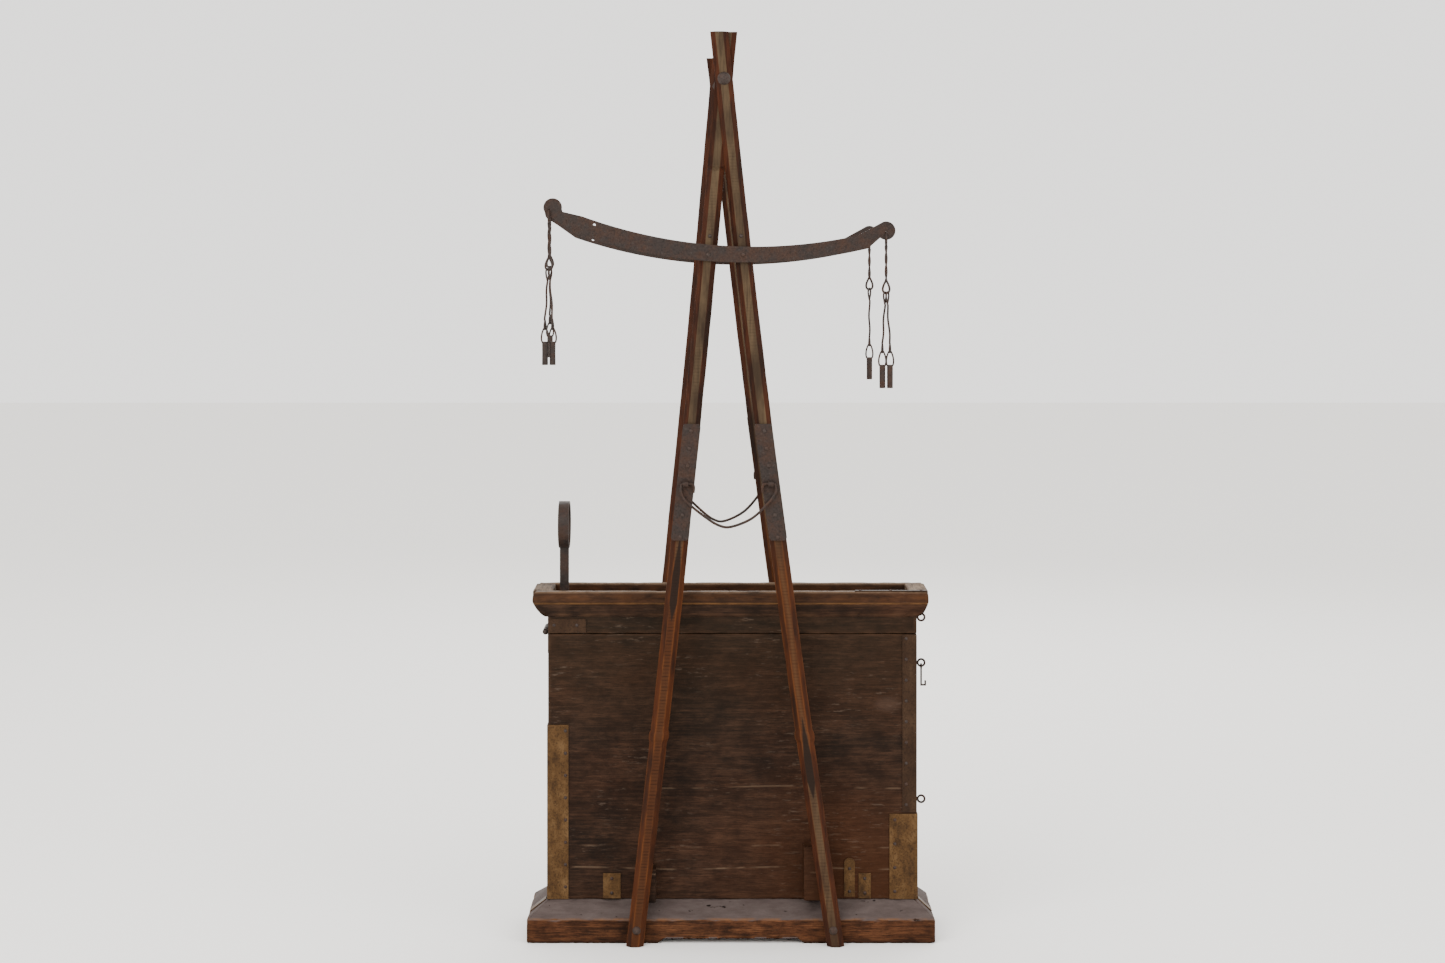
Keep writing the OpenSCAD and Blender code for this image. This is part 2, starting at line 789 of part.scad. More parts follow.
module frame_holes() {
    y_cyl(cross_x, cross_z, -pole_out - over, -frame_y + pole_t, bolt_r);
    for (p = [[foot_right, sag_right], [foot_left, sag_left]]) {
        y_cyl(pole_x(foot_bolt_z, p[0], p[1]), foot_bolt_z, -pole_out - over, 0, foot_bolt_r);
        for (s = plate_rivets)
            y_cyl(pole_x(plate_at(s), p[0], p[1]), plate_at(s), -pole_out - over,
                  -pole_out + rivet_in, rivet_r);
        y_cyl(pole_x(bow_rivet_z, p[0], p[1]), bow_rivet_z, -pole_out - over,
              -pole_out + rivet_in, rivet_r);
        y_cyl(pole_x(bow_nail_z, p[0], p[1]), bow_nail_z, -pole_out - over,
              -pole_out + nail_in, nail_r);
    }
}
bow_nail_z = bow_z + bow_h + 3.5;

// Puts a front-frame piece on the rear frame
module rear_frame() {
    translate([rear_dx, 0, 0]) mirror([0, 1, 0]) children();
}

module both_frames() {
    children();
    rear_frame() children();
}

module front_pole_right() {
    color("#8a6a4c") right_pole(pole_top);
}

module front_pole_left() {
    color("#80603f") left_pole(pole_top);
}

module rear_pole_right() {
    color("#7a5a40") rear_frame() right_pole(pole_top - rear_short);
}

module rear_pole_left() {
    color("#705236") rear_frame() left_pole(pole_top - rear_short);
}

module frame_bolts() {
    // crossing bolt with a domed head outside and a nut inside
    y_cyl(cross_x, cross_z, -pole_out, -frame_y + pole_t / 2, bolt_r);
    y_dome(cross_x, cross_z, -pole_out, bolt_head_r, bolt_head_h);
    translate([cross_x, -frame_y + pole_t / 2 + nut_h, cross_z]) rotate([90, 0, 0])
        cylinder(h = nut_h, r = nut_af / 2 / cos(30), $fn = 6);
    // foot bolts into the plinth
    for (x = [foot_bolt_x(foot_right, sag_right), foot_bolt_x(foot_left, sag_left)]) {
        y_cyl(x, foot_bolt_z, -pole_out, -plinth_d / 2 + foot_bolt_in, foot_bolt_r);
        y_dome(x, foot_bolt_z, -pole_out, foot_head_r, foot_head_h);
    }
}

module pole_bolts() {
    color("#8b7d70") both_frames() frame_bolts();
}

/* ---------- cleats between the body and the poles ---------- */

cleat_w = 30;
module pole_cleats() {
    x_right = pole_x(90, foot_right, sag_right);
    x_left = pole_x(75, foot_left, sag_left);
    color("#3a2a22") both_frames() {
        block(x_right - cleat_w + 3, x_right + 3, -frame_y + pole_t / 2, -body_d / 2, 56, 126);
        block(x_left - 3, x_left + cleat_w - 12, -frame_y + pole_t / 2, -body_d / 2, 53, 97);
    }
}

/* ---------- splice plates and bails ---------- */

// A plate that follows its pole, with the lug that carries the bail
module splice_plate(foot, sag) {
    x0 = pole_x(plate_z0, foot, sag);
    x1 = pole_x(plate_z1, foot, sag);
    xl = pole_x(bail_z, foot, sag);
    w = pole_w / 2;
    difference() {
        union() {
            xz_prism([[x0 - w + 2, plate_z0], [x0 + w - 2, plate_z0], [x0 + w, plate_z0 + 4],
                      [x1 + w, plate_z1 - 4], [x1 + w - 2, plate_z1], [x1 - w + 2, plate_z1],
                      [x1 - w, plate_z1 - 4], [x0 - w, plate_z0 + 4]],
                     -plate_face, -pole_out);
            translate([xl - lug_l / 2, -bail_y, bail_z]) rotate([0, 90, 0])
                cylinder(h = lug_l, r = lug_r);
            block(xl - lug_l / 2, xl + lug_l / 2, -bail_y, -plate_face, bail_z - lug_r, bail_z + lug_r);
        }
        translate([xl - lug_l, -bail_y, bail_z]) rotate([0, 90, 0])
            cylinder(h = 2 * lug_l, r = bail_r + fit);
        for (s = plate_rivets)
            y_cyl(pole_x(plate_at(s), foot, sag), plate_at(s), -plate_face - over,
                  -pole_out + over, rivet_r);
    }
}

module splice_plates() {
    color("#5f5148") both_frames() {
        splice_plate(foot_right, sag_right);
        splice_plate(foot_left, sag_left);
    }
}

// A wire swag whose ends turn in through the lugs
module bail(drop) {
    xr = pole_x(bail_z, foot_right, sag_right);
    xl = pole_x(bail_z, foot_left, sag_left);
    side = lug_l / 2 + bail_r + gap;        // the wire stands off the lug
    tail = lug_l / 2 + bail_r + gap + 5;
    tail_drop = 11;
    mid = (xr + xl) / 2;
    half = (xr - xl) / 2;
    function at(x, share) = [x, -share * drop];
    translate([0, -bail_y, bail_z])
        bent_wire([at(xl + tail, tail_drop / drop), at(xl + tail, 0), at(xl - side, 0),
                   at(xl - side - 0.4, 0.24), at(xl + 0.48 * half, 0.76), at(mid - 0.02 * half, 1),
                   at(xr - 0.45 * half, 0.78), at(xr + side + 0.4, 0.26), at(xr + side, 0),
                   at(xr - tail, 0), at(xr - tail, tail_drop / drop)], bail_r);
}

module front_bail() {
    color("#4a423c") bail(bail_drop);
}

module rear_bail() {
    color("#4a423c") rear_frame() bail(rear_bail_drop);
}

/* ---------- bows ---------- */

function arc_z(u) = bow_r - sqrt(bow_r * bow_r - u * u);    // rise of the curve at u
// Half the strap's height at u: it grows evenly towards each end's own height
function bow_half(u) =
    (bow_h + (u < 0 ? (bow_h_left - bow_h) * -u / disc_left
                    : (bow_h_right - bow_h) * u / disc_right)) / 2;
// A point of the strap's edge, off from the curve
function edge_pt(u, off) = [u * (1 - off / bow_r), arc_z(u) + off * cos(asin(u / bow_r))];
function disc_pt(x, z, a) = [x + disc_r * cos(a), z + disc_r * sin(a)];

arc_step = 14;
disc_step = 10;
neck_left = 34;                             // where the strap starts to narrow
neck_right = 28;
hole_left = [-5, -3];                       // the link's hole, from the disc's middle
hole_right = [0, -3];

// Outline of a forged strap with a disc at each end
module bow_outline() {
    polygon(concat(
        [for (u = [-disc_left + neck_left : arc_step : disc_right - neck_right])
            edge_pt(u, -bow_half(u))],
        [edge_pt(disc_right - neck_right + 2, -bow_half(disc_right - neck_right))],
        [for (a = [-130 : disc_step : 115]) disc_pt(disc_right, disc_right_rise, a)],
        [for (u = [disc_right - neck_right - 6 : -arc_step : -disc_left + neck_left])
            edge_pt(u, bow_half(u))],
        [for (a = [-25 : disc_step : 255]) disc_pt(-disc_left, disc_left_rise, a)],
        [[-disc_left + 6, disc_left_rise - disc_r - 5.5]]));
}

module bow() {
    difference() {
        translate([bow_x, -pole_out, bow_z]) rotate([90, 0, 0]) linear_extrude(bow_t) bow_outline();
        for (side = [-1, 1])
            y_cyl(disc(side, false)[0], disc(side, false)[2], -bow_face - over, -pole_out + over,
                  wire_r + fit);
        for (s = [-1, 1])
            y_cyl(hole_x, bow_z + arc_z(hole_x - bow_x) + s * hole_gap / 2, -bow_face - over,
                  -pole_out + over, hole_r);
    }
}

// Rivets of the front frame's bow; the rear bow is shifted on its own rivets
module bow_holes() {
    for (p = [[foot_right, sag_right], [foot_left, sag_left]])
        y_cyl(pole_x(bow_rivet_z, p[0], p[1]), bow_rivet_z, -bow_face - over, -pole_out + over,
              rivet_r);
}

module front_bow() {
    color("#574a45") difference() {
        bow();
        bow_holes();
    }
}

module rear_bow() {
    color("#50433e") rear_frame() difference() {
        translate([rear_bow_dx, 0, -rear_bow_drop]) bow();
        bow_holes();
    }
}

/* ---------- rivets and nails of the frames ---------- */

module frame_rivet_set() {
    for (p = [[foot_right, sag_right], [foot_left, sag_left]]) {
        for (s = plate_rivets) {
            x = pole_x(plate_at(s), p[0], p[1]);
            y_cyl(x, plate_at(s), -plate_face, -pole_out + rivet_in, rivet_r);
            y_dome(x, plate_at(s), -plate_face, rivet_head_r, rivet_head_h);
        }
        xb = pole_x(bow_rivet_z, p[0], p[1]);
        y_cyl(xb, bow_rivet_z, -bow_face, -pole_out + rivet_in, rivet_r);
        y_dome(xb, bow_rivet_z, -bow_face, rivet_head_r, rivet_head_h);
        xn = pole_x(bow_nail_z, p[0], p[1]);
        y_cyl(xn, bow_nail_z, -pole_out, -pole_out + nail_in, nail_r);
        y_dome(xn, bow_nail_z, -pole_out, nail_head_r, nail_head_h);
    }
}

module frame_rivets() {
    color("#6d5d52") both_frames() frame_rivet_set();
}

/* ---------- hanging links ---------- */

leg_y = bow_t / 2 + wire_r + gap + 1.6;     // the legs pass the disc on both sides
eye_t = 2;                                  // thickness of a link's eye
eye_wall = 2.1;                             // wall round an eye's bore
pair_x = eye_t / 2 + gap + 0.3;             // the two lower links' places on the bar
bar_x = pair_x + eye_t / 2 + gap + wire_r + 0.3;
pendant_wide = tube_r - 0.7;                // half the width of the pendant's wire loop
spread_x = max(pendant_wide + thin_r + corner, tube_r) + gap;   // each pendant's place

// The pivot is the wire that passes through the disc's hole
module upper_link(drop) {
    neck = disc_r + 5;
    wire_loop([[0, -leg_y, 0], [0, leg_y, 0], [0, leg_y, -disc_r], [0, 0, -neck],
               [0, -leg_y, -disc_r]], wire_r);
    rod([0, 0, -neck], [0, 0, -drop + 15], wire_r);
    wire_loop([[0, 0, -drop + 15], [bar_x, 0, -drop + 6], [bar_x, 0, -drop], [-bar_x, 0, -drop],
               [-bar_x, 0, -drop + 6]], wire_r);
}

// Flat eye with its bore along X
module link_eye(bore) {
    rotate([0, 90, 0]) difference() {
        translate([0, 0, -eye_t / 2]) cylinder(h = eye_t, r = bore + eye_wall);
        translate([0, 0, -eye_t]) cylinder(h = 2 * eye_t, r = bore);
    }
}

// From the bar at the origin down to the pendant, which hangs dx to the side
module lower_link(dx) {
    top = wire_r + fit;
    low = thin_r + fit;
    link_eye(top);
    rod([0, 0, -top - 0.8], [dx, 0, -lower_drop + low + 0.8], thin_r);
    translate([dx, 0, -lower_drop]) link_eye(low);
}

// A tube on a wire loop; the pivot is the loop's top bar
module pendant() {
    top_x = eye_t / 2 + gap + thin_r + 0.2;
    wide = pendant_wide;
    foot_x = tube_r - thin_r - 0.6;         // the wire's ends are set in the tube's closed top
    bent_wire([[-foot_x, -loop_h - 2], [-foot_x, -loop_h + 2], [-wide, -loop_h + 7], [-wide, -9],
               [-top_x, 0], [top_x, 0], [wide, -9], [wide, -loop_h + 7], [foot_x, -loop_h + 2],
               [foot_x, -loop_h - 2]], thin_r);
    translate([0, 0, -loop_h - tube_h]) difference() {
        cylinder(h = tube_h, r = tube_r);
        translate([0, 0, -over]) cylinder(h = tube_bore_h + over, r = tube_bore);
    }
}

// Places of the four holes for the links; the rear ones are mirrored, shifted and lower
function disc(side, rear) =
    let (hole = side < 0 ? hole_left : hole_right)
    [bow_x + (side < 0 ? -disc_left : disc_right) + hole[0] + (rear ? rear_dx + rear_bow_dx : 0),
     rear ? bow_mid : -bow_mid,
     bow_z + (side < 0 ? disc_left_rise : disc_right_rise) + hole[1] - (rear ? rear_bow_drop : 0)];

iron = "#4d3c34";
iron_2 = "#5d4a40";
iron_3 = "#6a5648";

module upper_link_fl() { color(iron) translate(disc(-1, false)) upper_link(upper_front); }
module upper_link_fr() { color(iron) translate(disc(1, false)) upper_link(upper_front); }
module upper_link_rl() { color(iron) translate(disc(-1, true)) upper_link(upper_rear); }
module upper_link_rr() { color(iron) translate(disc(1, true)) upper_link(upper_rear); }

// Lower link k (-1 left, +1 right, 0 alone) under a disc
module lower_at(side, rear, k) {
    drop = rear ? upper_rear : upper_front;
    color(iron_2) translate(disc(side, rear) + [k * pair_x, 0, -drop])
        lower_link(k * (spread_x - pair_x));
}

module pendant_at(side, rear, k) {
    drop = rear ? upper_rear : upper_front;
    color(iron_3) translate(disc(side, rear) + [k * spread_x, 0, -drop - lower_drop]) pendant();
}

module lower_link_fl_a() { lower_at(-1, false, -1); }
module lower_link_fl_b() { lower_at(-1, false, 1); }
module lower_link_fr_a() { lower_at(1, false, -1); }
module lower_link_fr_b() { lower_at(1, false, 1); }
module lower_link_rl() { lower_at(-1, true, 0); }
module lower_link_rr() { lower_at(1, true, 0); }
module pendant_fl_a() { pendant_at(-1, false, -1); }
module pendant_fl_b() { pendant_at(-1, false, 1); }
module pendant_fr_a() { pendant_at(1, false, -1); }
module pendant_fr_b() { pendant_at(1, false, 1); }
module pendant_rl() { pendant_at(-1, true, 0); }
module pendant_rr() { pendant_at(1, true, 0); }

/* ---------- nodes ---------- */

front_panel();
rear_panel();
side_walls();
chest_floor();
plinth_front();
plinth_rear();
plinth_ends();
plinth_straps();
frieze_front();
frieze_rear();
frieze_ends();
cornice_front();
cornice_rear();
cornice_ends();
tray_floor();
lid_straps();
lid_tacks();
loop_handle();
handle_rivets();
lid_hinge_leaf();
body_hinge_leaf();
hinge_pin();
lid_eye();
body_eyes();
latch_hook();
left_corner_strap();
right_corner_strap();
right_edge_strip();
repair_plates();
body_tacks();
pole_cleats();
front_pole_right();
front_pole_left();
rear_pole_right();
rear_pole_left();
pole_bolts();
splice_plates();
frame_rivets();
front_bow();
rear_bow();
front_bail();
rear_bail();
upper_link_fl();
upper_link_fr();
upper_link_rl();
upper_link_rr();
lower_link_fl_a();
lower_link_fl_b();
lower_link_fr_a();
lower_link_fr_b();
lower_link_rl();
lower_link_rr();
pendant_fl_a();
pendant_fl_b();
pendant_fr_a();
pendant_fr_b();
pendant_rl();
pendant_rr();
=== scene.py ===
"""A-frame hanging rack with a narrow chest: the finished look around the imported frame."""
import json
import math

import bmesh
import bpy
import numpy as np
from bpy.props import FloatProperty, FloatVectorProperty, IntProperty, PointerProperty
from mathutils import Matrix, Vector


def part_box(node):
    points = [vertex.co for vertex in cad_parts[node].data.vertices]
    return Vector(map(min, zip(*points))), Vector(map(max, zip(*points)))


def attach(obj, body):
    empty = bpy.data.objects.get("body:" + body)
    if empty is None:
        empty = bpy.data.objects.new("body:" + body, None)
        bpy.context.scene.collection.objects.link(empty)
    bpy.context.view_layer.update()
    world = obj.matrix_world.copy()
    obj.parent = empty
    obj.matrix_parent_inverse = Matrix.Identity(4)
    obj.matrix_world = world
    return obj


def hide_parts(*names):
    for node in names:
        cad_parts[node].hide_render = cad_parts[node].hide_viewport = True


bl_info = {
    "name": "A-frame rack with chest",
    "version": (1, 0, 0),
    "blender": (4, 5, 0),
    "location": "View3D > Sidebar > Rack",
    "description": "Builds the finished look of a forged and timber hanging rack",
    "category": "Object",
}

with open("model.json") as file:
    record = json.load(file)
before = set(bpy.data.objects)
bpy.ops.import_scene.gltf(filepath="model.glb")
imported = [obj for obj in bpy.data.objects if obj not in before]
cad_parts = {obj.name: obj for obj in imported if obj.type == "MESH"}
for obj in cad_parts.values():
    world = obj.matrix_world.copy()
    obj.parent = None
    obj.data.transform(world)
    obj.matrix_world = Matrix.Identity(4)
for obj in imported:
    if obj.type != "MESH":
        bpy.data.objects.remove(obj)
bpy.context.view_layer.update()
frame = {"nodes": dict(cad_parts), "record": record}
BODIES = {node: body for body, nodes in frame["record"]["behaviour"]["bodies"].items() for node in nodes}
JOINT_POS = {j["name"]: np.array(j["pos_m"]) for j in frame["record"]["behaviour"]["joints"]}
FINISHES = {}
PLINTH_FACE = 0.031         # height of the plinth's upright face
DENT_X, DENT_Z = 0.206, 0.310           # the dent in the front board
KNUCKLE_Z = 0.273           # raised knuckle of the poles
SPLICE_Z = 0.56             # where the poles' worn lower part begins
CUT_PITCH = 0.0043          # spacing of the cuts across the band


# ---------------------------------------------------------------- sizes and colours

class RackSizes(bpy.types.PropertyGroup):
    """Sizes of the pieces that are worked out here."""
    pole_width: FloatProperty(name="Pole width", description="Across the front of a pole",
                              default=0.023, unit="LENGTH")
    pole_depth: FloatProperty(name="Pole depth", description="Front to back of a pole",
                              default=0.020, unit="LENGTH")
    pole_band: FloatProperty(name="Band width", description="Flat band between the chamfers",
                             default=0.010, unit="LENGTH")
    pole_edge: FloatProperty(name="Pole edge", description="Upright edge between the chamfers",
                             default=0.008, unit="LENGTH")
    frame_y: FloatProperty(name="Frame distance", description="From the chest's middle to a frame",
                           default=0.083, unit="LENGTH")
    cross_x: FloatProperty(name="Crossing sideways", description="Sideways place of the crossing",
                           default=-0.009, unit="LENGTH")
    cross_z: FloatProperty(name="Crossing height", description="Height of the crossing",
                           default=1.127, unit="LENGTH")
    foot_right: FloatProperty(name="Right foot", description="Sideways place of the right foot",
                              default=0.136, unit="LENGTH")
    foot_left: FloatProperty(name="Left foot", description="Sideways place of the left foot",
                             default=-0.125, unit="LENGTH")
    sag_right: FloatProperty(name="Right bow", description="Inward bow of the right pole",
                             default=0.007, unit="LENGTH")
    sag_left: FloatProperty(name="Left bow", description="Inward bow of the left pole",
                            default=0.0045, unit="LENGTH")
    rear_shift: FloatProperty(name="Rear shift", description="Sideways shift of the rear frame",
                              default=-0.008, unit="LENGTH")
    wire: FloatProperty(name="Wire radius", description="Radius of the links' wire",
                        default=0.0015, unit="LENGTH")
    board_edge: FloatProperty(name="Board edge", description="Rounding of the boards' worn edges",
                              default=0.0016, unit="LENGTH")


class RackColours(bpy.types.PropertyGroup):
    """Colours of the finishes, in linear light."""
    chest_dark: FloatVectorProperty(name="Chest dark", description="Darkest stain of the chest",
                                    subtype="COLOR", default=(0.014, 0.0085, 0.006))
    chest_mid: FloatVectorProperty(name="Chest middle", description="Usual colour of the chest",
                                   subtype="COLOR", default=(0.040, 0.021, 0.013))
    chest_light: FloatVectorProperty(name="Chest light", description="Worn grain of the chest",
                                     subtype="COLOR", default=(0.095, 0.048, 0.028))
    # bare is also the middle tone of the lid's pale end boards, which carry painted sky reflection
    bare: FloatVectorProperty(name="Bare wood", description="Wood where the stain is gone",
                              subtype="COLOR", default=(0.30, 0.20, 0.13))
    gold: FloatVectorProperty(name="Worn edge", description="Polished edge of a moulding",
                              subtype="COLOR", default=(0.36, 0.17, 0.055))
    pole_side: FloatVectorProperty(name="Pole side", description="Red-brown sides of the poles",
                                   subtype="COLOR", default=(0.085, 0.026, 0.012))
    pole_band: FloatVectorProperty(name="Pole band", description="Worn band along the poles",
                                   subtype="COLOR", default=(0.145, 0.095, 0.053))
    # the paler grey of the plinth's upward faces: painted light from above, with dust
    plinth_top_light_and_dust: FloatVectorProperty(name="Plinth bevel", description="Dusty bevel of the plinth",
                                    subtype="COLOR", default=(0.180, 0.138, 0.126))
    iron: FloatVectorProperty(name="Iron", description="Forged iron",
                              subtype="COLOR", default=(0.046, 0.033, 0.028))
    rust: FloatVectorProperty(name="Rust", description="Rust on the iron",
                              subtype="COLOR", default=(0.105, 0.045, 0.024))
    brass: FloatVectorProperty(name="Old brass", description="Tarnished repair plates",
                               subtype="COLOR", default=(0.140, 0.074, 0.031))
    floor: FloatVectorProperty(name="Floor", description="Plain pale floor",
                               subtype="COLOR", default=(0.90, 0.885, 0.86))


# ---------------------------------------------------------------- material helpers

class Nodes:
    """A short way to write a material's node tree. tone scales every colour that is given."""

    def __init__(self, name, tone=0.44):
        self.tone = tone
        self.material = bpy.data.materials.new("rack_" + name)
        self.material.use_nodes = True
        self.tree = self.material.node_tree
        self.shader = self.tree.nodes["Principled BSDF"]
        self.coords = self.tree.nodes.new("ShaderNodeTexCoord").outputs["Object"]

    def put(self, socket, value):
        """Links a socket or sets a plain value."""
        if isinstance(value, bpy.types.NodeSocket):
            self.tree.links.new(value, socket)
        elif hasattr(value, "__len__") and len(value) == 3 and socket.type == "RGBA":
            socket.default_value = (*(v * self.tone for v in value), 1.0)
        else:
            socket.default_value = value

    def stretch(self, scale, place=(0, 0, 0), turn=(0, 0, 0)):
        """Object coordinates scaled by axis."""
        node = self.tree.nodes.new("ShaderNodeMapping")
        self.put(node.inputs["Vector"], self.coords)
        node.inputs["Scale"].default_value = scale
        node.inputs["Location"].default_value = place
        node.inputs["Rotation"].default_value = turn
        return node.outputs["Vector"]

    def noise(self, vector, detail=4.0, rough=0.55, twist=0.0):
        """Cloudy pattern from 0 to 1."""
        node = self.tree.nodes.new("ShaderNodeTexNoise")
        self.put(node.inputs["Vector"], vector)
        node.inputs["Scale"].default_value = 1.0
        node.inputs["Detail"].default_value = detail
        node.inputs["Roughness"].default_value = rough
        node.inputs["Distortion"].default_value = twist
        return node.outputs["Fac"]

    def ramp(self, fac, stops):
        """Stops are (place, colour or grey)."""
        node = self.tree.nodes.new("ShaderNodeValToRGB")
        self.put(node.inputs["Fac"], fac)
        bits = node.color_ramp.elements
        while len(bits) < len(stops):
            bits.new(0.5)
        for bit, (place, colour) in zip(bits, stops):
            bit.position = place
            plain_grey = isinstance(colour, (int, float))
            shown = (colour,) * 3 if plain_grey else tuple(v * self.tone for v in colour)
            bit.color = (*shown, 1)
        return node.outputs["Color"]

    def mix(self, fac, a, b, kind="MIX"):
        """Colour a where fac is 0, b where it is 1."""
        node = self.tree.nodes.new("ShaderNodeMix")
        node.data_type = "RGBA"
        node.blend_type = kind
        self.put(node.inputs["Factor"], fac)
        self.put(node.inputs[6], a)
        self.put(node.inputs[7], b)
        return node.outputs[2]

    def math(self, kind, a, b=0.0, clamp=False):
        """One sum on numbers or sockets."""
        node = self.tree.nodes.new("ShaderNodeMath")
        node.operation = kind
        node.use_clamp = clamp
        self.put(node.inputs[0], a)
        self.put(node.inputs[1], b)
        return node.outputs[0]

    def near(self, value, centre, width):
        """1 where value is at centre, fading to 0 over width."""
        away = self.math("ABSOLUTE", self.math("SUBTRACT", value, centre))
        return self.math("SUBTRACT", 1.0, self.math("DIVIDE", away, width), clamp=True)

    def xyz(self, vector=None):
        node = self.tree.nodes.new("ShaderNodeSeparateXYZ")
        self.put(node.inputs[0], vector or self.coords)
        return node.outputs

    def attribute(self, name):
        """A value stored on the mesh's points."""
        node = self.tree.nodes.new("ShaderNodeAttribute")
        node.attribute_name = name
        return node.outputs["Fac"]

    def facing(self):
        """The surface's own direction."""
        node = self.tree.nodes.new("ShaderNodeNewGeometry")
        return self.xyz(node.outputs["Normal"])

    def finish(self, colour, rough, bumps=(), metallic=0.0, shine=0.05):
        """Bumps are (height, distance in metres, strength), coarse first."""
        self.put(self.shader.inputs["Base Color"], colour)
        self.put(self.shader.inputs["Roughness"], rough)
        self.shader.inputs["Metallic"].default_value = metallic
        self.shader.inputs["Specular IOR Level"].default_value = shine
        normal = None
        for height, distance, strength in bumps:
            node = self.tree.nodes.new("ShaderNodeBump")
            node.inputs["Distance"].default_value = distance
            node.inputs["Strength"].default_value = strength
            self.put(node.inputs["Height"], height)
            if normal is not None:
                self.put(node.inputs["Normal"], normal)
            normal = node.outputs["Normal"]
        if normal is not None:
            self.put(self.shader.inputs["Normal"], normal)
        return self.material


def grain_scale(axis, along, across):
    """Stretches a pattern along one axis of the wood."""
    return tuple(along if i == axis else across for i in range(3))


def aged_wood(name, colours, axis=0, red=0.35, scratches=0.5, gloss=0.56):
    """Dark stained wood: fine long grain, cloudy patches, pale scratches and dark pores."""
    dark, mid, light = colours
    warm_red, scratched = (0.13, 0.042, 0.016), (0.20, 0.14, 0.10)
    n = Nodes(name)
    grain = n.noise(n.stretch(grain_scale(axis, 16, 330)), detail=8, rough=0.70, twist=0.6)
    base = n.ramp(grain, [(0.30, dark), (0.50, mid), (0.74, light)])
    patch = n.noise(n.stretch(grain_scale(axis, 34, 60), place=(2, 6, 4)), detail=6, rough=0.68)
    base = n.mix(n.ramp(patch, [(0.34, 0.75), (0.52, 0.0)]), base, dark)
    base = n.mix(n.ramp(patch, [(0.52, 0.0), (0.72, 0.45)]), base, light)
    cloud = n.noise(n.stretch(grain_scale(axis, 5, 9), place=(3, 1, 2)), detail=5, rough=0.6)
    warm = n.mix(n.ramp(cloud, [(0.42, 0.0), (0.72, 1.0)]), base,
                 n.mix(0.55, base, warm_red))
    base = n.mix(red, base, warm)
    shade = n.ramp(n.noise(n.stretch(grain_scale(axis, 2.5, 5), place=(7, 4, 1)), detail=3),
                   [(0.32, 0.70), (0.68, 1.25)])
    base = n.mix(1.0, base, shade, kind="MULTIPLY")
    mark = n.noise(n.stretch(grain_scale(axis, 30, 640), place=(1, 5, 9)), detail=3, rough=0.7,
                   twist=1.6)
    where = n.noise(n.stretch((13, 13, 13), place=(5, 2, 8)), detail=2)
    mark = n.math("MULTIPLY", n.ramp(mark, [(0.66, 0.0), (0.74, 1.0)]),
                  n.ramp(where, [(0.48, 0.0), (0.62, 1.0)]))
    base = n.mix(n.math("MULTIPLY", mark, scratches), base, scratched)
    pores = n.noise(n.stretch(grain_scale(axis, 90, 1500)), detail=3)
    base = n.mix(n.ramp(pores, [(0.34, 0.7), (0.5, 0.0)]), base, dark)
    rough = n.ramp(cloud, [(0.3, gloss - 0.08), (0.7, gloss + 0.16)])
    return n, base, rough, [(patch, 0.0008, 0.5), (grain, 0.0006, 0.6), (pores, 0.0002, 0.4)]


def chest_wood(c):
    """Body: olive above, redder and lighter low down at the right, with scuffs, pale splits, a
    dent and the fine pale scratches of long use."""
    olive, reddish, scuffed = (0.030, 0.021, 0.011), (0.088, 0.029, 0.009), (0.17, 0.12, 0.088)
    split, dented, worn = (0.30, 0.20, 0.13), (0.165, 0.098, 0.070), (0.150, 0.075, 0.040)
    n, base, rough, bumps = aged_wood("chest_wood", (c.chest_dark, c.chest_mid, c.chest_light))
    x, _, z = n.xyz()
    high = n.math("DIVIDE", n.math("SUBTRACT", z, 0.24), 0.12, clamp=True)
    base = n.mix(n.math("MULTIPLY", high, 0.35), base, olive)
    low = n.math("SUBTRACT", 1.0, n.math("DIVIDE", z, 0.24), clamp=True)
    right = n.math("DIVIDE", n.math("ADD", x, 0.05), 0.2, clamp=True)
    patch = n.math("MULTIPLY", low, right)
    base = n.mix(n.math("MULTIPLY", patch, 0.75), base, reddish)
    # scuffs in short slanting strokes
    strokes = n.noise(n.stretch((55, 55, 330), place=(2, 0, 1), turn=(0, 0.5, 0)), detail=3, rough=0.7)
    area = n.noise(n.stretch((8, 8, 9), place=(0.2, 3, 5)), detail=2)
    scuff = n.math("MULTIPLY", n.ramp(strokes, [(0.60, 0.0), (0.68, 1.0)]),
                   n.ramp(area, [(0.44, 0.0), (0.58, 1.0)]))
    base = n.mix(n.math("MULTIPLY", scuff, 0.42), base, scuffed)
    for place, amount in ((0.0905, 0.5), (0.197, 0.35), (0.119, 0.3)):
        wave = n.math("MULTIPLY", n.math("SINE", n.math("MULTIPLY", x, 23.0)), 0.0016)
        line = n.near(n.math("SUBTRACT", z, wave), place + 0.001, 0.0016)
        broken = n.ramp(n.noise(n.stretch((22, 22, 22), place=(place * 40, 0, 0)), detail=2),
                        [(0.46, 0.0), (0.56, 1.0)])
        base = n.mix(n.math("MULTIPLY", n.math("MULTIPLY", line, broken), amount), base, split)
    dent = n.math("MULTIPLY", n.near(x, DENT_X, 0.022), n.near(z, DENT_Z - 0.003, 0.013))
    base = n.mix(n.ramp(dent, [(0.05, 0.0), (0.5, 0.28)]), base, dented)
    wear = n.math("MULTIPLY", n.attribute("wear"), 0.55)
    base = n.mix(wear, base, worn)
    return n.finish(base, rough, bumps)


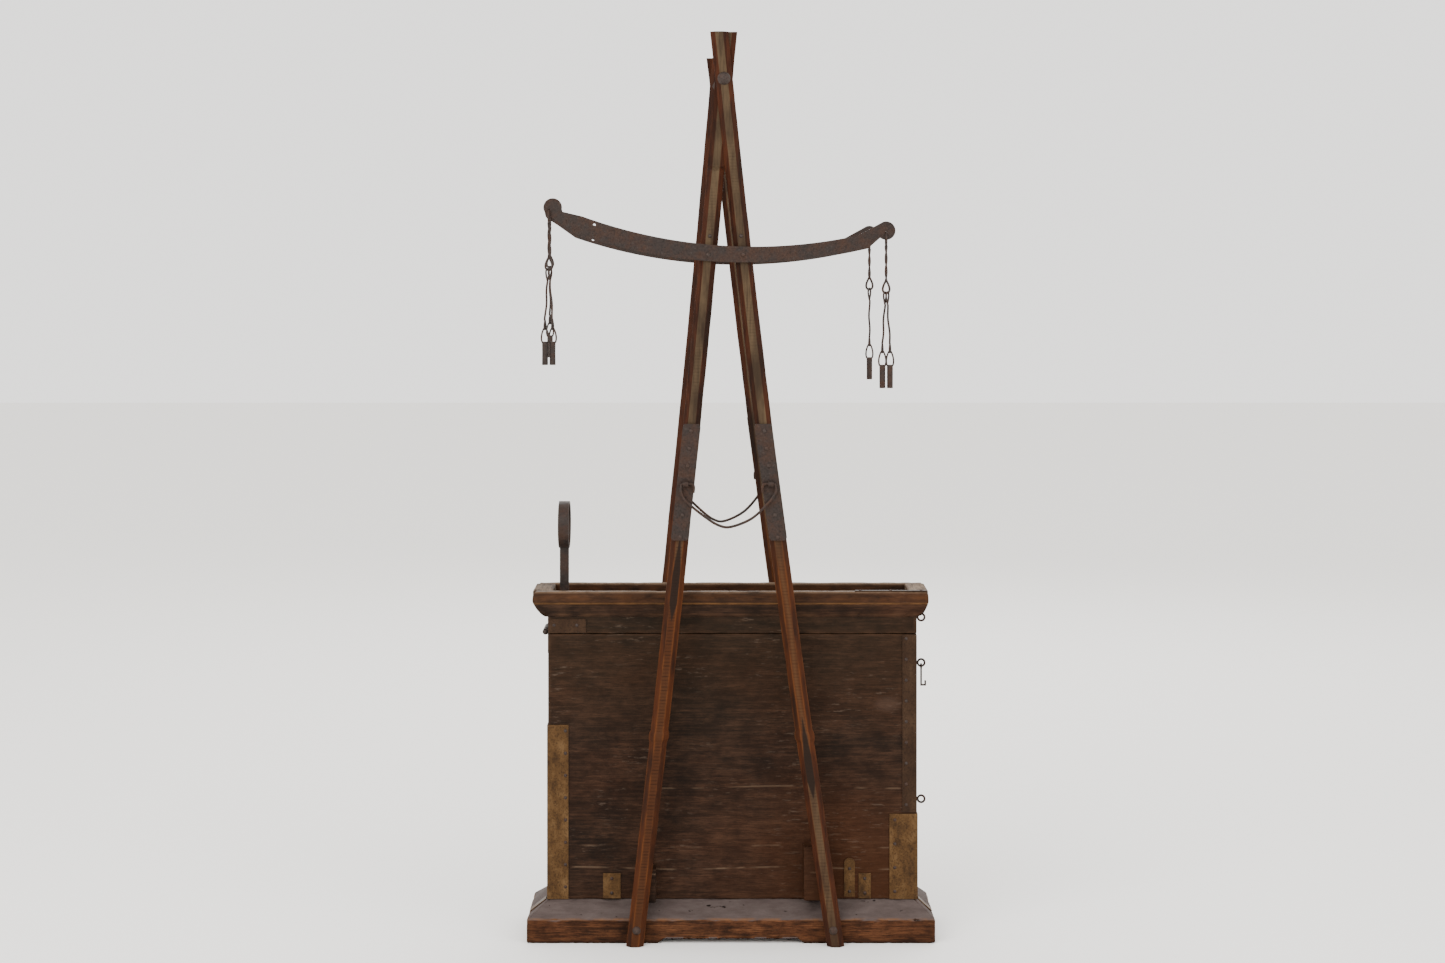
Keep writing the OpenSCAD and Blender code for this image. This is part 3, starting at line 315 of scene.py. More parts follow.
def moulding_wood(c):
    """Cornice: the same wood with polished golden arrises and a bare top."""
    worn, polished = (0.17, 0.085, 0.042), (0.22, 0.085, 0.03)
    n, base, rough, bumps = aged_wood("moulding_wood", (c.chest_dark, c.chest_mid, c.chest_light),
                                      red=0.5, scratches=0.7)
    low_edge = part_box("frieze_front")[1][2] + 0.0012
    top_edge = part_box("cornice_front")[1][2]
    wear = n.ramp(n.noise(n.stretch((26, 26, 90)), detail=5, rough=0.7), [(0.34, 0.0), (0.6, 1.0)])
    z = n.xyz()[2]
    gold = n.math("MULTIPLY", n.near(z, low_edge, 0.0017), n.math("ADD", wear, 0.10), clamp=True)
    base = n.mix(n.math("MULTIPLY", gold, 0.62), base, c.gold)
    base = n.mix(n.math("MULTIPLY", n.attribute("wear"), 0.35), base, worn)
    pale = n.math("MULTIPLY", n.near(z, top_edge, 0.0030), n.math("ADD", wear, 0.3), clamp=True)
    base = n.mix(n.math("MULTIPLY", pale, 0.75), base, c.bare)
    middle = n.math("MULTIPLY", n.near(z, (low_edge + top_edge) / 2, 0.010), wear)
    base = n.mix(n.math("MULTIPLY", middle, 0.35), base, polished)
    return n.finish(base, rough, bumps)


def bare_wood(c):
    # pale end boards of the lid: bare wood, made paler still as a painted reflection of the sky on them
    n, base, rough, bumps = aged_wood("bare_wood", (c.chest_mid, c.bare, (0.45, 0.34, 0.24)),
                                      axis=1, red=0.15, gloss=0.66)
    return n.finish(base, rough, bumps)


def plinth_wood(c):
    """Plinth: grey-brown bevel over a worn orange-brown face; the upward faces are paler grey as painted
    light from above, with dust patches, and the bottom is darker as painted shade where it meets the floor.
    """
    brown, orange_brown = (0.120, 0.046, 0.021), (0.29, 0.118, 0.050)
    dusty_dark, rubbed = (0.110, 0.080, 0.072), (0.30, 0.13, 0.05)
    n, base, rough, bumps = aged_wood("plinth_wood", (c.chest_dark, brown, orange_brown), red=0.6,
                                      scratches=0.9)
    dust = n.noise(n.stretch((30, 90, 90)), detail=6, rough=0.7)
    top = n.mix(n.ramp(dust, [(0.3, 0.0), (0.7, 1.0)]), c.plinth_top_light_and_dust, dusty_dark)
    chips = n.ramp(n.noise(n.stretch((70, 120, 120), place=(2, 2, 2)), detail=3),
                   [(0.28, 1.0), (0.34, 0.0)])
    top = n.mix(chips, top, c.chest_dark)
    # faces turned upwards get the paler grey: painted light from above, with the dust patches in it
    upward_painted_light = n.ramp(n.facing()[2], [(0.25, 0.0), (0.55, 1.0)])
    base = n.mix(upward_painted_light, base, top)
    wear = n.ramp(n.noise(n.stretch((40, 40, 120)), detail=5), [(0.38, 0.0), (0.6, 1.0)])
    arris = n.math("MULTIPLY", n.near(n.xyz()[2], PLINTH_FACE, 0.0022), wear)
    base = n.mix(n.math("MULTIPLY", arris, 0.8), base, rubbed)
    # painted shade: the plinth is darkened along its bottom where it meets the floor
    foot = n.math("MULTIPLY", n.near(n.xyz()[2], 0.0, 0.006), 0.8)
    base = n.mix(foot, base, c.chest_dark)
    return n.finish(base, n.math("ADD", rough, 0.08), bumps)


def pole_wood(c):
    """Poles: red-brown chamfers, a worn tan band with cuts, and orange arrises lower down."""
    soot, cut_dark, tongue_dark = (0.018, 0.011, 0.008), (0.012, 0.006, 0.004), (0.026, 0.016, 0.012)
    stain, red_side = (0.046, 0.029, 0.019), (0.120, 0.036, 0.011)
    red_front, bright, glowing = (0.092, 0.029, 0.010), (0.24, 0.13, 0.06), (0.27, 0.084, 0.022)
    n = Nodes("pole_wood")
    band, arris, cut, low, tongue, stripe = (n.attribute(key) for key in
                                             ("band", "arris", "cut", "low", "tongue", "stripe"))
    streak = n.noise(n.stretch((300, 300, 16)), detail=7, rough=0.68)
    cloud = n.noise(n.stretch((30, 30, 10), place=(4, 4, 4)), detail=5, rough=0.62)
    side = n.ramp(streak, [(0.28, (0.014, 0.006, 0.004)), (0.52, c.pole_side),
                           (0.8, (0.120, 0.037, 0.013))])
    side = n.mix(n.math("MULTIPLY", low, 0.45), side, red_side)
    side = n.mix(n.ramp(cloud, [(0.36, 0.85), (0.6, 0.0)]), side, soot)
    front = n.ramp(streak, [(0.25, (0.038, 0.025, 0.016)), (0.5, c.pole_band),
                            (0.8, (0.160, 0.104, 0.058))])
    front = n.mix(n.ramp(cloud, [(0.40, 0.85), (0.62, 0.0)]), front, stain)
    front = n.mix(n.math("MULTIPLY", low, 0.86), front, red_front)
    front = n.mix(n.math("MULTIPLY", stripe, n.math("MULTIPLY", low, 0.26)), front, bright)
    base = n.mix(n.ramp(band, [(0.35, 0.0), (0.65, 1.0)]), side, front)
    base = n.mix(n.math("MULTIPLY", cut, 0.92), base, cut_dark)
    wear = n.ramp(n.noise(n.stretch((60, 60, 22), place=(1, 7, 3)), detail=5), [(0.40, 0.0), (0.58, 1.0)])
    glow = n.math("MULTIPLY", n.math("MULTIPLY", arris, wear), n.math("ADD", low, 0.10, clamp=True))
    base = n.mix(n.math("MULTIPLY", glow, 0.55), base, glowing)
    base = n.mix(n.math("MULTIPLY", tongue, 0.92), base, tongue_dark)
    rough = n.ramp(cloud, [(0.3, 0.46), (0.7, 0.66)])
    return n.finish(base, rough, [(streak, 0.0006, 0.6), (cloud, 0.0012, 0.35)])


def forged_iron(c, name="forged_iron", shade=1.0, rust=0.55, hammer=1.0):
    """Old forged iron: mottled brown-black with rust, hammered and pitted."""
    n = Nodes(name, tone=0.5)
    iron = tuple(v * shade for v in c.iron)
    patches = n.noise(n.stretch((55, 55, 55)), detail=7, rough=0.68)
    pits = n.noise(n.stretch((420, 420, 420)), detail=4, rough=0.6)
    base = n.mix(n.ramp(patches, [(0.42, 0.0), (0.66, rust)]), iron, c.rust)
    base = n.mix(n.ramp(pits, [(0.33, 0.55), (0.5, 0.0)]), base, (0.012, 0.009, 0.008))
    base = n.mix(n.ramp(pits, [(0.6, 0.0), (0.75, 0.35)]), base, (0.16, 0.13, 0.115))
    dents = n.noise(n.stretch((120, 120, 120), place=(3, 3, 3)), detail=2)
    rough = n.ramp(patches, [(0.3, 0.46), (0.7, 0.70)])
    return n.finish(base, rough, [(dents, 0.0011 * hammer, 0.6), (pits, 0.0003, 0.5)], metallic=0.45,
                    shine=0.22)


def old_brass(c):
    """Tarnished brass plate, stained in patches."""
    n = Nodes("old_brass", tone=0.5)
    stain = n.noise(n.stretch((60, 60, 38)), detail=7, rough=0.68)
    fine = n.noise(n.stretch((500, 500, 500)), detail=3)
    base = n.ramp(stain, [(0.28, (0.045, 0.026, 0.016)), (0.5, c.brass), (0.74, (0.25, 0.145, 0.066))])
    base = n.mix(n.ramp(fine, [(0.35, 0.5), (0.5, 0.0)]), base, (0.035, 0.022, 0.014))
    rough = n.ramp(stain, [(0.3, 0.36), (0.7, 0.56)])
    return n.finish(base, rough, [(stain, 0.0005, 0.4), (fine, 0.0002, 0.4)], metallic=0.55)


def strip_metal():
    """The brown strip up the right edge, nearly the colour of the boards."""
    n = Nodes("strip_metal", tone=0.48)
    stain = n.noise(n.stretch((50, 50, 30)), detail=6, rough=0.66)
    fine = n.noise(n.stretch((400, 400, 400)), detail=3)
    base = n.ramp(stain, [(0.3, (0.034, 0.017, 0.010)), (0.55, (0.066, 0.035, 0.019)),
                          (0.8, (0.11, 0.064, 0.036))])
    base = n.mix(n.ramp(fine, [(0.35, 0.5), (0.5, 0.0)]), base, (0.02, 0.012, 0.008))
    return n.finish(base, 0.55, [(stain, 0.0005, 0.4), (fine, 0.0002, 0.4)], metallic=0.25, shine=0.08)


def plain(name, colour, rough):
    n = Nodes(name, tone=1.0)
    return n.finish(colour, rough)


# ---------------------------------------------------------------- mesh helpers

def grid_faces(rows, cols, wrap_rows=False, wrap_cols=False):
    """Quads of a grid as an index array; wrap joins the last row or column to the first."""
    r = np.arange(rows if wrap_rows else rows - 1)
    c = np.arange(cols if wrap_cols else cols - 1)
    rr, cc = np.meshgrid(r, c, indexing="ij")
    r2, c2 = (rr + 1) % rows, (cc + 1) % cols
    return np.stack([rr * cols + cc, rr * cols + c2, r2 * cols + c2, r2 * cols + cc], -1).reshape(-1, 4)


def make_mesh(name, verts, quads, caps=(), attributes=None, smooth=True):
    """One object from arrays: quads, then each cap as one face round a ring of vertices."""
    faces = [tuple(map(int, face)) for face in (*quads, *caps)]
    mesh = bpy.data.meshes.new(name)
    mesh.from_pydata(verts.reshape(-1, 3), [], faces)
    mesh.polygons.foreach_set("use_smooth", np.full(len(mesh.polygons), smooth))
    for key, values in (attributes or {}).items():
        layer = mesh.attributes.new(key, "FLOAT", "POINT")
        layer.data.foreach_set("value", np.ascontiguousarray(values, dtype=np.float32).ravel())
    mesh.validate()
    mesh.update()
    piece = bpy.data.objects.new(name, mesh)
    bpy.context.scene.collection.objects.link(piece)
    return piece


def outwards(piece):
    """Turns faces outwards on a closed piece whose signed volume is negative."""
    mesh = piece.data
    mesh.calc_loop_triangles()
    tri = np.empty(len(mesh.loop_triangles) * 3, dtype=np.int32)
    mesh.loop_triangles.foreach_get("vertices", tri)
    co = np.empty(len(mesh.vertices) * 3, dtype=np.float32)
    mesh.vertices.foreach_get("co", co)
    a, b, c = (co.reshape(-1, 3)[tri.reshape(-1, 3)[:, k]] for k in range(3))
    if np.einsum("ij,ij->i", a, np.cross(b, c)).sum() < 0:
        mesh.flip_normals()
    return piece


def lumps(points, pitch, seed, waves=9):
    """Smooth unevenness from -1 to 1: the mean of sine waves in seeded directions, each
    sin(2 pi * (point . direction) / length + phase), with lengths round the pitch."""
    rng = np.random.default_rng(seed)
    way = rng.normal(size=(3, waves))
    way /= np.linalg.norm(way, axis=0)
    way *= 2 * np.pi / (pitch * rng.uniform(0.6, 1.7, waves))
    total = np.sin(points @ way + rng.uniform(0, 6.28, waves)).sum(-1)
    return np.clip(total / math.sqrt(waves) / 1.4, -1, 1)


def eased_outline(corners, radius, step, arc=4):
    """A polygon with each corner replaced by the curve (1-t)^2 a + 2t(1-t) p + t^2 b and its long
    sides divided. Gives the points and, for each, how near it is to a corner, from 0 to 1."""
    corners = np.array(corners, dtype=float)
    near, far = np.roll(corners, 1, 0), np.roll(corners, -1, 0)
    back, ahead = near - corners, far - corners
    lb, la = np.linalg.norm(back, axis=1), np.linalg.norm(ahead, axis=1)
    r = np.minimum(radius, 0.45 * np.minimum(lb, la))[:, None]
    starts, ends = corners + back / lb[:, None] * r, corners + ahead / la[:, None] * r
    t = np.linspace(0, 1, arc + 1)[:, None]
    points, nearness = [], []
    for start, p, end, following in zip(starts, corners, ends, np.roll(starts, -1, 0)):
        points.append((1 - t) ** 2 * start + 2 * t * (1 - t) * p + t * t * end)
        nearness.append(0.35 + 0.65 * np.sin(np.pi * t[:, 0]))
        count = max(2, int(np.linalg.norm(following - end) / step) + 1)
        side = np.linspace(0, 1, count + 1)[1:-1, None]
        points.append(end + (following - end) * side)
        reach = np.minimum(side, 1 - side)[:, 0] * np.linalg.norm(following - end)
        nearness.append(0.35 * np.exp(-reach / (1.5 * radius)))
    return np.concatenate(points), np.concatenate(nearness)


def board(name, corners, low_end, high_end, axis=0, edge=0.0016, step=0.006, side_step=0.007,
          uneven=0.00025, chip=0.0010, seed=1, shape=None):
    """A worn board: an eased outline carried along an axis from low_end to high_end, which are
    numbers or functions of the outline's points. A point is outline + unevenness * normal -
    chips * normal, where chips grow towards the arrises. corners are (y, z) pairs for a board
    along X, or (x, z) pairs along Y. shape may alter the points once they are placed."""
    outline, nearness = eased_outline(corners, edge, side_step)
    ahead = np.roll(outline, -1, 0) - np.roll(outline, 1, 0)
    normal = np.stack([ahead[:, 1], -ahead[:, 0]], -1)
    normal /= np.linalg.norm(normal, axis=1, keepdims=True)
    area = np.sum(outline[:, 0] * np.roll(outline[:, 1], -1) - outline[:, 1] * np.roll(outline[:, 0], -1))
    normal *= 1 if area > 0 else -1
    low = low_end(outline) if callable(low_end) else np.full(len(outline), float(low_end))
    high = high_end(outline) if callable(high_end) else np.full(len(outline), float(high_end))
    length = float(np.max(high - low))
    share = np.linspace(0, 1, max(4, int(length / step)))
    ease = edge / length
    share = np.concatenate([[0, 0.3 * ease], ease + share * (1 - 2 * ease), [1 - 0.3 * ease, 1]])
    inset = np.zeros(len(share))
    inset[[0, -1]], inset[[1, -2]] = edge, 0.3 * edge
    run = low + (high - low) * share[:, None]
    flat = outline[None] - normal[None] * inset[:, None, None]
    flat = np.broadcast_to(flat, (len(share), len(outline), 2)).copy()
    place = np.stack([run, flat[..., 0], flat[..., 1]], -1)
    at_end = np.clip(1 - np.minimum(share, 1 - share) * length / 0.004, 0, 1)[:, None]
    close = np.maximum(nearness[None], 0.75 * at_end)
    rough = lumps(place, 0.055, seed)
    bite = np.clip(lumps(place, 0.016, seed + 50) - 0.25, 0, 1)
    bite = bite + 0.5 * np.clip(lumps(place, 0.005, seed + 70), 0, 1)
    push = uneven * rough * (1 - at_end) - chip * close * bite
    flat += normal[None] * np.minimum(push, 0.0)[..., None]
    if axis == 0:
        verts = np.stack([run, flat[..., 0], flat[..., 1]], -1)
    else:
        verts = np.stack([flat[..., 0], run, flat[..., 1]], -1)
    if shape:
        verts = shape(verts)
    n = len(outline)
    caps = [np.arange(n)[::-1], np.arange(n) + (len(share) - 1) * n]
    wear = np.clip(close * (0.55 + 0.6 * lumps(place, 0.03, seed + 9)), 0, 1)
    piece = make_mesh(name, verts, grid_faces(len(share), n, wrap_cols=True), caps, {"wear": wear})
    return outwards(piece)


def soft_path(points, per=12):
    """A smooth curve through points: between b and c it is the Catmull-Rom cubic
    ((2b) + (c-a)t + (2a-5b+4c-d)t^2 + (3b-a-3c+d)t^3) / 2."""
    p = np.array(points, dtype=float)
    p = np.concatenate([[2 * p[0] - p[1]], p, [2 * p[-1] - p[-2]]])
    t = np.linspace(0, 1, per, endpoint=False)[None, :, None]
    a, b, c, d = (p[k:len(p) - 3 + k, None] for k in range(4))
    curve = ((2 * b) + (c - a) * t + (2 * a - 5 * b + 4 * c - d) * t ** 2
             + (3 * b - a - 3 * c + d) * t ** 3) / 2
    return np.concatenate([curve.reshape(-1, p.shape[1]), p[-2:-1]])


def sweep(path, radius, side, sides=12, closed=False):
    """Round wire. A point is path(t) + radius * (cos(a) * n + sin(a) * side), where n is square to
    the path and to side, the fixed direction that the path's plane faces."""
    step = np.roll(path, -1, 0) - np.roll(path, 1, 0) if closed else np.gradient(path, axis=0)
    step /= np.linalg.norm(step, axis=1, keepdims=True)
    n = np.cross(np.broadcast_to(side, path.shape), step)
    n /= np.linalg.norm(n, axis=1, keepdims=True)
    b = np.cross(step, n)
    a = np.linspace(0, 2 * np.pi, sides, endpoint=False)
    r = np.broadcast_to(radius, (len(path),))[:, None, None]
    return path[:, None] + r * (np.cos(a)[None, :, None] * n[:, None] + np.sin(a)[None, :, None] * b[:, None])


def wire_arrays(parts):
    """Joins swept wires (points, closed) into one set of vertices, quads and caps."""
    verts, quads, caps, start = [], [], [], 0
    for grid, closed in parts:
        rows, cols = grid.shape[:2]
        verts.append(grid.reshape(-1, 3))
        quads.append(grid_faces(rows, cols, wrap_rows=closed, wrap_cols=True) + start)
        if not closed:
            caps.append(np.arange(cols)[::-1] + start)
            caps.append(np.arange(cols) + start + (rows - 1) * cols)
        start += rows * cols
    return np.concatenate(verts), np.concatenate(quads), caps


def show(piece, material, node_slot, body, *nodes):
    """Gives a new piece its material and its body, and hides the CAD nodes that it stands for; node_slot is
    not used.
    """
    piece.data.materials.append(material)
    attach(piece, body)
    if nodes:
        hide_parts(*nodes)
    return piece


def repaint(node, material):
    """A CAD node keeps its shape and gets a better material."""
    piece = frame["nodes"][node]
    for slot in piece.material_slots:
        slot.material = material
    return piece


def node_solids(node):
    """A CAD node's corners merged, and its triangles as rows of three corner numbers."""
    mesh = frame["nodes"][node].data
    co = np.empty(len(mesh.vertices) * 3, dtype=np.float32)
    mesh.vertices.foreach_get("co", co)
    mesh.calc_loop_triangles()
    tri = np.empty(len(mesh.loop_triangles) * 3, dtype=np.int32)
    mesh.loop_triangles.foreach_get("vertices", tri)
    co = co.reshape(-1, 3)
    _, first, same = np.unique(np.round(co / 2e-6).astype(np.int64), axis=0, return_index=True,
                               return_inverse=True)
    tri = same.reshape(-1)[tri].reshape(-1, 3)
    whole = (tri[:, 0] != tri[:, 1]) & (tri[:, 1] != tri[:, 2]) & (tri[:, 2] != tri[:, 0])
    return co[first], tri[whole]


def eased(node, material, slot, edge):
    """A copy of a CAD node, merged, with its sharp arrises eased by a small bevel."""
    verts, tri = node_solids(node)
    piece = make_mesh(node + "_eased", verts, tri)
    join = bmesh.new()
    join.from_mesh(piece.data)
    bmesh.ops.dissolve_limit(join, angle_limit=math.radians(1.0), verts=join.verts, edges=join.edges)
    join.to_mesh(piece.data)
    join.free()
    bevel = piece.modifiers.new("eased arris", "BEVEL")
    bevel.width = edge
    bevel.segments = 2
    bevel.limit_method = "ANGLE"
    bevel.angle_limit = math.radians(34)
    bevel.use_clamp_overlap = True
    bevel.harden_normals = True
    return show(piece, material, slot, BODIES[node], node)


def materials():
    """Every finish, made once."""
    c = bpy.context.scene.rack_colours
    makers = {
        "chest_wood": chest_wood, "moulding_wood": moulding_wood, "bare_wood": bare_wood,
        "plinth_wood": plinth_wood, "pole_wood": pole_wood, "old_brass": old_brass,
        "forged_iron": forged_iron, "strip_metal": lambda _: strip_metal(),
        "worn_iron": lambda k: forged_iron(k, "worn_iron", shade=1.5, rust=0.5, hammer=0.6),
        "link_iron": lambda k: forged_iron(k, "link_iron", shade=1.15, rust=0.7, hammer=0.4),
    }
    for name, make in makers.items():
        if name not in FINISHES:
            FINISHES[name] = make(c)
    return FINISHES


# ---------------------------------------------------------------- operators

class RACK_OT_chest(bpy.types.Operator):
    """Body boards, with a dent, splits and eased arrises"""
    bl_idname = "rack.chest"
    bl_label = "Chest body"

    def execute(self, context):
        m = materials()
        edge = context.scene.rack_sizes.board_edge
        for node, side, seed in (("front_panel", -1, 11), ("rear_panel", 1, 12)):
            low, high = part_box(node)
            corners = [(low[1], low[2]), (high[1], low[2]), (high[1], high[2]), (low[1], high[2])]
            shape = front_marks if side < 0 else None
            piece = board(node + "_board", corners, low[0], high[0], edge=edge, side_step=0.003,
                          step=0.0035, seed=seed, shape=shape)
            show(piece, m["chest_wood"], "dark_wood", BODIES[node], node)
        for node in ("side_walls", "chest_floor", "frieze_ends", "tray_floor", "pole_cleats"):
            eased(node, m["chest_wood"], "dark_wood", edge * 0.6)
        for node, seed in (("frieze_front", 21), ("frieze_rear", 22)):
            low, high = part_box(node)
            corners = [(low[1], low[2]), (high[1], low[2]), (high[1], high[2]), (low[1], high[2])]
            piece = board(node + "_board", corners, low[0], high[0], edge=edge, side_step=0.004,
                          step=0.004, seed=seed)
            show(piece, m["chest_wood"], "dark_wood", BODIES[node], node)
        return {"FINISHED"}


def front_marks(verts):
    """Dents and splits of the front board: depth = dent * smooth box + grooves along gently
    wandering lines, pressed in only on the outer face."""
    x, y, z = verts[..., 0], verts[..., 1], verts[..., 2]
    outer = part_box("front_panel")[0][1]
    face = np.clip(1 - (y - outer) / 0.002, 0, 1)
    dent = np.exp(-(((x - DENT_X) / 0.017) ** 4 + ((z - DENT_Z) / 0.010) ** 4))
    slope = np.clip((z - 0.300) / 0.02, 0, 1)
    depth = 0.0016 * dent * (0.45 + 0.55 * slope)
    for line, reach, deep in ((0.089, (-0.10, 0.15), 0.0008), (0.118, (-0.24, -0.03), 0.0005),
                              (0.196, (-0.02, 0.24), 0.0005), (0.262, (0.0, 0.10), 0.0004)):
        path = line + 0.0016 * np.sin(x * 23 + line * 90) + 0.0006 * np.sin(x * 71)
        inside = np.clip((x - reach[0]) / 0.03, 0, 1) * np.clip((reach[1] - x) / 0.03, 0, 1)
        depth = depth + deep * inside * np.exp(-((z - path) / 0.0016) ** 2)
    return np.stack([x, y + depth * face, z], -1)


class RACK_OT_lid(bpy.types.Operator):
    """Cornice boards with a worn moulding, and the pale end boards: bare wood with painted sky reflection"""
    bl_idname = "rack.lid"
    bl_label = "Lid"

    def execute(self, context):
        m = materials()
        edge = context.scene.rack_sizes.board_edge
        for node, side, seed in (("cornice_front", -1, 31), ("cornice_rear", 1, 32)):
            low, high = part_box(node)
            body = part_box("frieze_front")
            y_out, y_in, y_body = abs(low[1]) if side < 0 else high[1], 0.036, abs(body[0][1])
            z0, z1, z_mid = low[2], high[2], body[1][2]
            half = [(y_body + 0.0001, z0), (y_body + 0.002, z0 + 0.004), (y_out - 0.0012, z_mid),
                    (y_out, z_mid + 0.001), (y_out, z1), (y_in, z1), (y_in, z_mid), (y_body + 0.0001, z_mid)]
            corners = [(side * y, z) for y, z in half]
            left = [0.0200, 0.0125, 0.0060, 0.0015, 0.0, 0.0006, 0.0034]
            right = [0.0185, 0.0080, 0.0040, 0.0006, 0.0, 0.0002, 0.0016]
            heights = [z0, z0 + 0.004, z0 + 0.011, z_mid, z_mid + 0.004, z1 - 0.006, z1]
            piece = board(node + "_board", corners, lambda p: low[0] + np.interp(p[:, 1], heights, left),
                          lambda p: high[0] - np.interp(p[:, 1], heights, right), edge=edge * 1.4,
                          side_step=0.003, step=0.004, uneven=0.0004, chip=0.0016, seed=seed)
            show(piece, m["moulding_wood"], "dark_wood", BODIES[node], node)
        # the end boards' pale finish is bare wood with painted sky reflection
        eased("cornice_ends", m["bare_wood"], "bare_wood", edge)
        return {"FINISHED"}


class RACK_OT_plinth(bpy.types.Operator):
    """Bevelled plinth boards, mitred at the corners, with the cut between the feet"""
    bl_idname = "rack.plinth"
    bl_label = "Plinth"

    def execute(self, context):
        m = materials()
        edge = context.scene.rack_sizes.board_edge * 1.5
        low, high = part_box("plinth_front")
        panel_low, panel_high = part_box("front_panel")
        face_z = PLINTH_FACE
        out, step, inner = -low[1], -panel_low[1], -high[1]
        x0, x1 = low[0], high[0]
        in0, in1 = panel_low[0] + (step - inner), panel_high[0] - (step - inner)
        half = [(out, 0.0), (out, face_z), (step, high[2]), (inner, high[2]), (inner, 0.0)]

        def mitre(y, outer_x, inner_x):
            return outer_x + (inner_x - outer_x) * (out - np.abs(y)) / (out - inner)

        for node, side, seed in (("plinth_front", -1, 41), ("plinth_rear", 1, 42)):
            corners = [(side * y, z) for y, z in half]
            piece = board(node + "_board", corners, lambda p: mitre(p[:, 0], x0, in0) + 0.0002,
                          lambda p: mitre(p[:, 0], x1, in1) - 0.0002, edge=edge, side_step=0.004,
                          step=0.004, uneven=0.0006, chip=0.0022, seed=seed, shape=foot_cut)
            show(piece, m["plinth_wood"], "plinth_wood", BODIES[node], node)
        for end, seed in ((-1, 43), (1, 44)):
            far, top, near = (x0, panel_low[0], in0) if end < 0 else (x1, panel_high[0], in1)
            corners = [(far, 0.0), (far, face_z), (top, high[2]), (near, high[2]), (near, 0.0)]

            def reach(p, far=far, near=near):
                return out - (out - inner) * (p[:, 0] - far) / (near - far) - 0.0002

            piece = board("plinth_end_left" if end < 0 else "plinth_end_right", corners,
                          lambda p: -reach(p), reach, axis=1, edge=edge, side_step=0.004, step=0.004,
                          uneven=0.0006, chip=0.0022, seed=seed)
            show(piece, m["plinth_wood"], "plinth_wood", BODIES["plinth_ends"], "plinth_ends")
        return {"FINISHED"}


def foot_cut(verts):
    """Lifts the underside between the feet: z = max(z, height * ramp(x))."""
    half_gap, slope, lift = 0.095, 0.007, 0.007
    ramp = np.clip((half_gap - np.abs(verts[..., 0])) / slope, 0, 1)
    verts[..., 2] = np.maximum(verts[..., 2], lift * ramp)
    return verts


def pole_x(z, foot, sag, s):
    """Middle of a pole: a straight line from crossing to foot, bowed inwards by a parabola."""
    t = (s.cross_z - z) / s.cross_z
    run = foot - s.cross_x
    way = np.sign(foot)
    return np.where(z >= s.cross_z, s.cross_x + (run - way * sag * 4) * t,
                    s.cross_x + run * t - way * sag * 4 * t * (1 - t))


